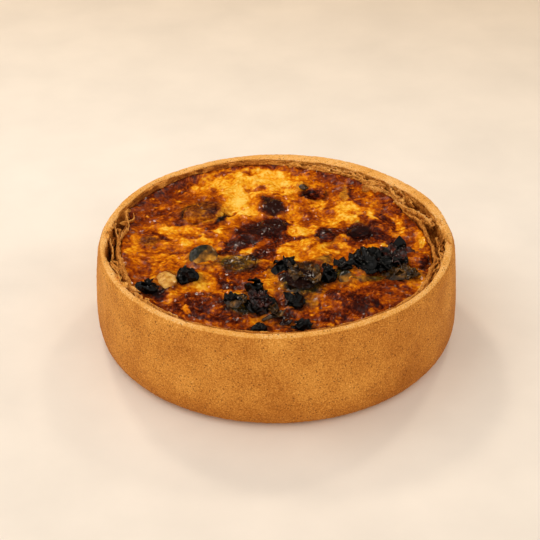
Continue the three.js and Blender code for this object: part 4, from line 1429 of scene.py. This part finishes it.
class QUICHE_OT_leaves(bpy.types.Operator):
    """Makes the crumpled leaves"""

    bl_idname = "quiche.leaves"
    bl_label = "Leaves"

    def execute(self, context):
        settings = context.scene.quiche_toppings
        wilted_greens()  # these two are looked up by name, here and for the scraps
        roast_vegetable()
        for seed, (node, slot, depth) in enumerate(LEAVES):
            mesh, spot, normal = grown(node, settings.voxel / MM * 0.8)
            lift = depth * (0.8 - 1.9 * crease(spot * (1, 1, 0.3), 6, 2, 300 + 11 * seed))
            push = 0.16 * noise(spot / 1.3, 309 + 11 * seed)
            moved = spot + normal * push[:, None]
            moved[:, 2] += lift
            move_points(mesh, moved)
            add_piece(mesh, bpy.data.materials[FINISHES[slot]], [node])
        return {"FINISHED"}


class QUICHE_OT_courgette(bpy.types.Operator):
    """Makes the courgette slices"""

    bl_idname = "quiche.courgette"
    bl_label = "Courgette slices"

    def execute(self, context):
        settings = context.scene.quiche_toppings
        material = roast_courgette()
        for seed, (node, heading) in enumerate(SLICES):
            mesh, spot, normal = grown(node, settings.voxel / MM, 1)
            low, high = spot.min(0), spot.max(0)
            towards = np.array((math.cos(math.radians(heading)), math.sin(math.radians(heading)), 0))
            along = (2 * spot - low - high) @ towards / (high - low)[:2].max()
            along = along + 0.3 * noise(spot / 4, 431 + seed)
            skin = np.maximum(smoothstep(np.abs(normal[:, 2]), 0.8, 0.5), smoothstep(along, 0.05, 0.3))
            push = 0.4 * fractal(spot, 5, 3, 400 + seed * 9)
            push = push + 0.8 * noise(spot / 9, 441 + seed) * (1 - normal[:, 2] ** 2)
            move_points(mesh, spot + normal * push[:, None])
            set_value(mesh, "skin", skin)
            add_piece(mesh, material, [node])
        return {"FINISHED"}


class QUICHE_OT_covered_pieces(bpy.types.Operator):
    """Makes the pieces that lie under the custard's skin"""

    bl_idname = "quiche.covered_pieces"
    bl_label = "Covered pieces"

    def execute(self, context):
        settings = context.scene.quiche_toppings
        for node, slot, darker in COVERED:
            mesh, spot, normal = grown(node, settings.voxel / MM)
            brown, scorch, herb, bent = tints(*spot.T)
            rise, brown = skin_relief(bent, brown + darker, scorch)
            move_points(mesh, spot + normal * 0.6 * (rise * smoothstep(normal[:, 2], 0, 0.6))[:, None])
            for name, values in (("browning", brown), ("scorch", scorch), ("herb", herb)):
                set_value(mesh, name, values)
            add_piece(mesh, bpy.data.materials["baked_cheese_custard"], [node])
        return {"FINISHED"}


class QUICHE_OT_potato(bpy.types.Operator):
    """Makes the piece of potato"""

    bl_idname = "quiche.potato"
    bl_label = "Potato"

    def execute(self, context):
        mesh = craggy("potato_piece_left", context.scene.quiche_toppings.voxel / MM, 0.9, 6, 600, 2)
        add_piece(mesh, roast_potato(), ["potato_piece_left"])
        return {"FINISHED"}


class QUICHE_OT_leaf_scraps(bpy.types.Operator):
    """Scatters crumpled scraps of leaf over the charred pieces and the greens"""

    bl_idname = "quiche.leaf_scraps"
    bl_label = "Leaf scraps"

    def execute(self, context):
        context.view_layer.update()
        graph = context.evaluated_depsgraph_get()
        scraps, seed = {}, 0
        for mx, my, long, wide, count, size, lean, slot in SCRAPS:
            for _ in range(count):
                seed += 1
                luck = chance(seed * 9 + np.arange(5))
                reach, turn = math.sqrt(luck[0]), TURN * luck[1]
                spot = landing(
                    context, graph, mx + long * reach * math.cos(turn), my + wide * reach * math.sin(turn)
                )
                radius = size * lerp(0.6, 1.25, luck[2])
                tilt = math.radians(lean) * (luck[3] * 2 - 1)
                turned = Matrix.Rotation(TURN * luck[4], 3, "Z") @ Matrix.Rotation(tilt, 3, "X")
                middle = spot + (0, 0, 0.3 * radius * math.sin(abs(tilt)) + 0.2)
                scraps.setdefault(slot, []).append(ruffled(middle, radius, turned, seed))
        for slot, parts in scraps.items():
            material = bpy.data.materials[FINISHES[slot]]
            add_piece(made_mesh(material.name + "_scraps", *merged(parts)), material)
        return {"FINISHED"}


# Lamps aimed at the middle of the quiche's top: place and size in metres, share of the key light, colour.
LAMPS = (
    ("key", (-0.78, 0.38, 1.34), 1.2, 1.08, "#fffaf4"),
    ("front", (-0.1, -1.2, 1.2), 1.4, 0.03, "#fff8ee"),
    ("glint_left", (-0.4, 0.95, 1.05), 0.18, 0.62, "#fff0dc"),
    ("glint_right", (0.45, 0.9, 1.05), 0.15, 0.42, "#fff0dc"),
)
# Camera: tilt down and roll in degrees, distance and shift in metres, lens and film in millimetres.
CAMERA = {"tilt": 32.55, "roll": -0.6, "distance": 0.8, "left": 0.00362, "down": 0.02005,
          "lens": 94.8, "film": 36}
FLOOR_HALF = 6000.0  # half the width of the floor, in millimetres


def studio_world(fill):
    """World light, dim above and behind the quiche so that its dark wet places stay dark."""
    world = bpy.data.worlds.new("studio")
    world.use_nodes = True
    tree = world.node_tree
    back = tree.nodes["Background"]
    back.inputs["Color"].default_value = linear("#fff6ec")
    towards = add_node(tree, "TexCoord").outputs["Generated"]
    away = add_node(tree, "VectorMath", {"operation": "DOT_PRODUCT", 1: (0.0, 0.8, 0.6)}, {0: towards})
    wall = add_node(
        tree, "MapRange", {"From Min": 0.35, "From Max": 0.85, "To Min": fill, "To Max": fill * 0.07},
        {"Value": away.outputs["Value"]},
    )
    tree.links.new(wall.outputs[0], back.inputs["Strength"])
    return world


def add_lamp(name, place, size, energy, colour):
    """Square lamp aimed at the middle of the quiche's top."""
    data = bpy.data.lights.new(name, "AREA")
    data.shape, data.size = "SQUARE", size
    data.energy = energy
    data.color = linear(colour)[:3]
    lamp = bpy.data.objects.new(name, data)
    lamp.location = place
    lamp.rotation_mode = "QUATERNION"
    aim = Vector((0, 0, HEIGHT * MM)) - lamp.location
    lamp.rotation_quaternion = aim.to_track_quat("-Z", "Y")
    bpy.context.scene.collection.objects.link(lamp)


def add_camera(scene):
    """Camera that looks down on the quiche from the front."""
    tilt, roll = math.radians(CAMERA["tilt"]), math.radians(CAMERA["roll"])
    backward = Vector((0, -math.cos(tilt), math.sin(tilt)))
    right, up = Vector((1, 0, 0)), Vector((0, math.sin(tilt), math.cos(tilt)))
    across = math.cos(roll) * right + math.sin(roll) * up
    upward = -math.sin(roll) * right + math.cos(roll) * up
    camera = bpy.data.objects.new("camera", bpy.data.cameras.new("camera"))
    camera.data.sensor_width = CAMERA["film"]
    camera.data.lens = CAMERA["lens"]
    camera.data.clip_end = 20
    place = Vector((0, 0, HEIGHT * MM)) + backward * CAMERA["distance"]
    place = place - right * CAMERA["left"] - up * CAMERA["down"]
    basis = Matrix((across, upward, backward)).transposed()
    camera.matrix_world = Matrix.Translation(place) @ basis.to_4x4()
    scene.collection.objects.link(camera)
    scene.camera = camera


class QUICHE_OT_stage(bpy.types.Operator):
    """Makes the floor, the lights and the camera"""

    bl_idname = "quiche.stage"
    bl_label = "Stage"

    def execute(self, context):
        settings = context.scene.quiche_stage
        scene = context.scene
        corners = [(x * FLOOR_HALF, y * FLOOR_HALF, 0) for x, y in ((-1, -1), (1, -1), (1, 1), (-1, 1))]
        floor = bpy.data.objects.new("floor", made_mesh("floor", corners, [[0, 1, 2, 3]]))
        scene.collection.objects.link(floor)
        floor.data.materials.append(pale_stone(settings.floor))
        scene.world = studio_world(settings.fill)
        for name, place, size, share, colour in LAMPS:
            add_lamp(name, place, size, settings.key * share, colour)
        add_camera(scene)
        scene.view_settings.view_transform = "Standard"
        scene.view_settings.look = "None"
        return {"FINISHED"}


OPERATORS = (
    QUICHE_OT_stage,
    QUICHE_OT_pastry_case,
    QUICHE_OT_pastry_flakes,
    QUICHE_OT_custard,
    QUICHE_OT_pastry_crumbs,
    QUICHE_OT_charred_pieces,
    QUICHE_OT_leaves,
    QUICHE_OT_courgette,
    QUICHE_OT_covered_pieces,
    QUICHE_OT_potato,
    QUICHE_OT_leaf_scraps,
)
SETTINGS = {
    "quiche_pastry": PastrySettings,
    "quiche_custard": CustardSettings,
    "quiche_toppings": ToppingSettings,
    "quiche_stage": StageSettings,
}


class QUICHE_PT_panel(bpy.types.Panel):
    """Lists the quiche's operators and settings"""

    bl_idname = "QUICHE_PT_panel"
    bl_label = "Quiche"
    bl_space_type = "VIEW_3D"
    bl_region_type = "UI"
    bl_category = "Quiche"

    def draw(self, context):
        for operator in OPERATORS:
            self.layout.operator(operator.bl_idname)
        for name, group in SETTINGS.items():
            box = self.layout.box()
            for field in group.__annotations__:
                box.prop(getattr(context.scene, name), field)


def register():
    """Registers the settings, the operators and the panel."""
    for name, group in SETTINGS.items():
        bpy.utils.register_class(group)
        setattr(bpy.types.Scene, name, bpy.props.PointerProperty(type=group))
    for cls in (*OPERATORS, QUICHE_PT_panel):
        bpy.utils.register_class(cls)


def unregister():
    """Takes the panel, the operators and the settings away again."""
    for cls in (QUICHE_PT_panel, *reversed(OPERATORS)):
        bpy.utils.unregister_class(cls)
    for name, group in reversed(SETTINGS.items()):
        delattr(bpy.types.Scene, name)
        bpy.utils.unregister_class(group)


def main():
    """Builds the stage and the quiche."""
    register()
    bpy.ops.quiche.stage()
    bpy.ops.quiche.pastry_case()
    bpy.ops.quiche.pastry_flakes()
    bpy.ops.quiche.custard()
    bpy.ops.quiche.pastry_crumbs()
    bpy.ops.quiche.charred_pieces()
    bpy.ops.quiche.leaves()
    bpy.ops.quiche.courgette()
    bpy.ops.quiche.covered_pieces()
    bpy.ops.quiche.potato()
    bpy.ops.quiche.leaf_scraps()


if __name__ == "__main__":
    main()
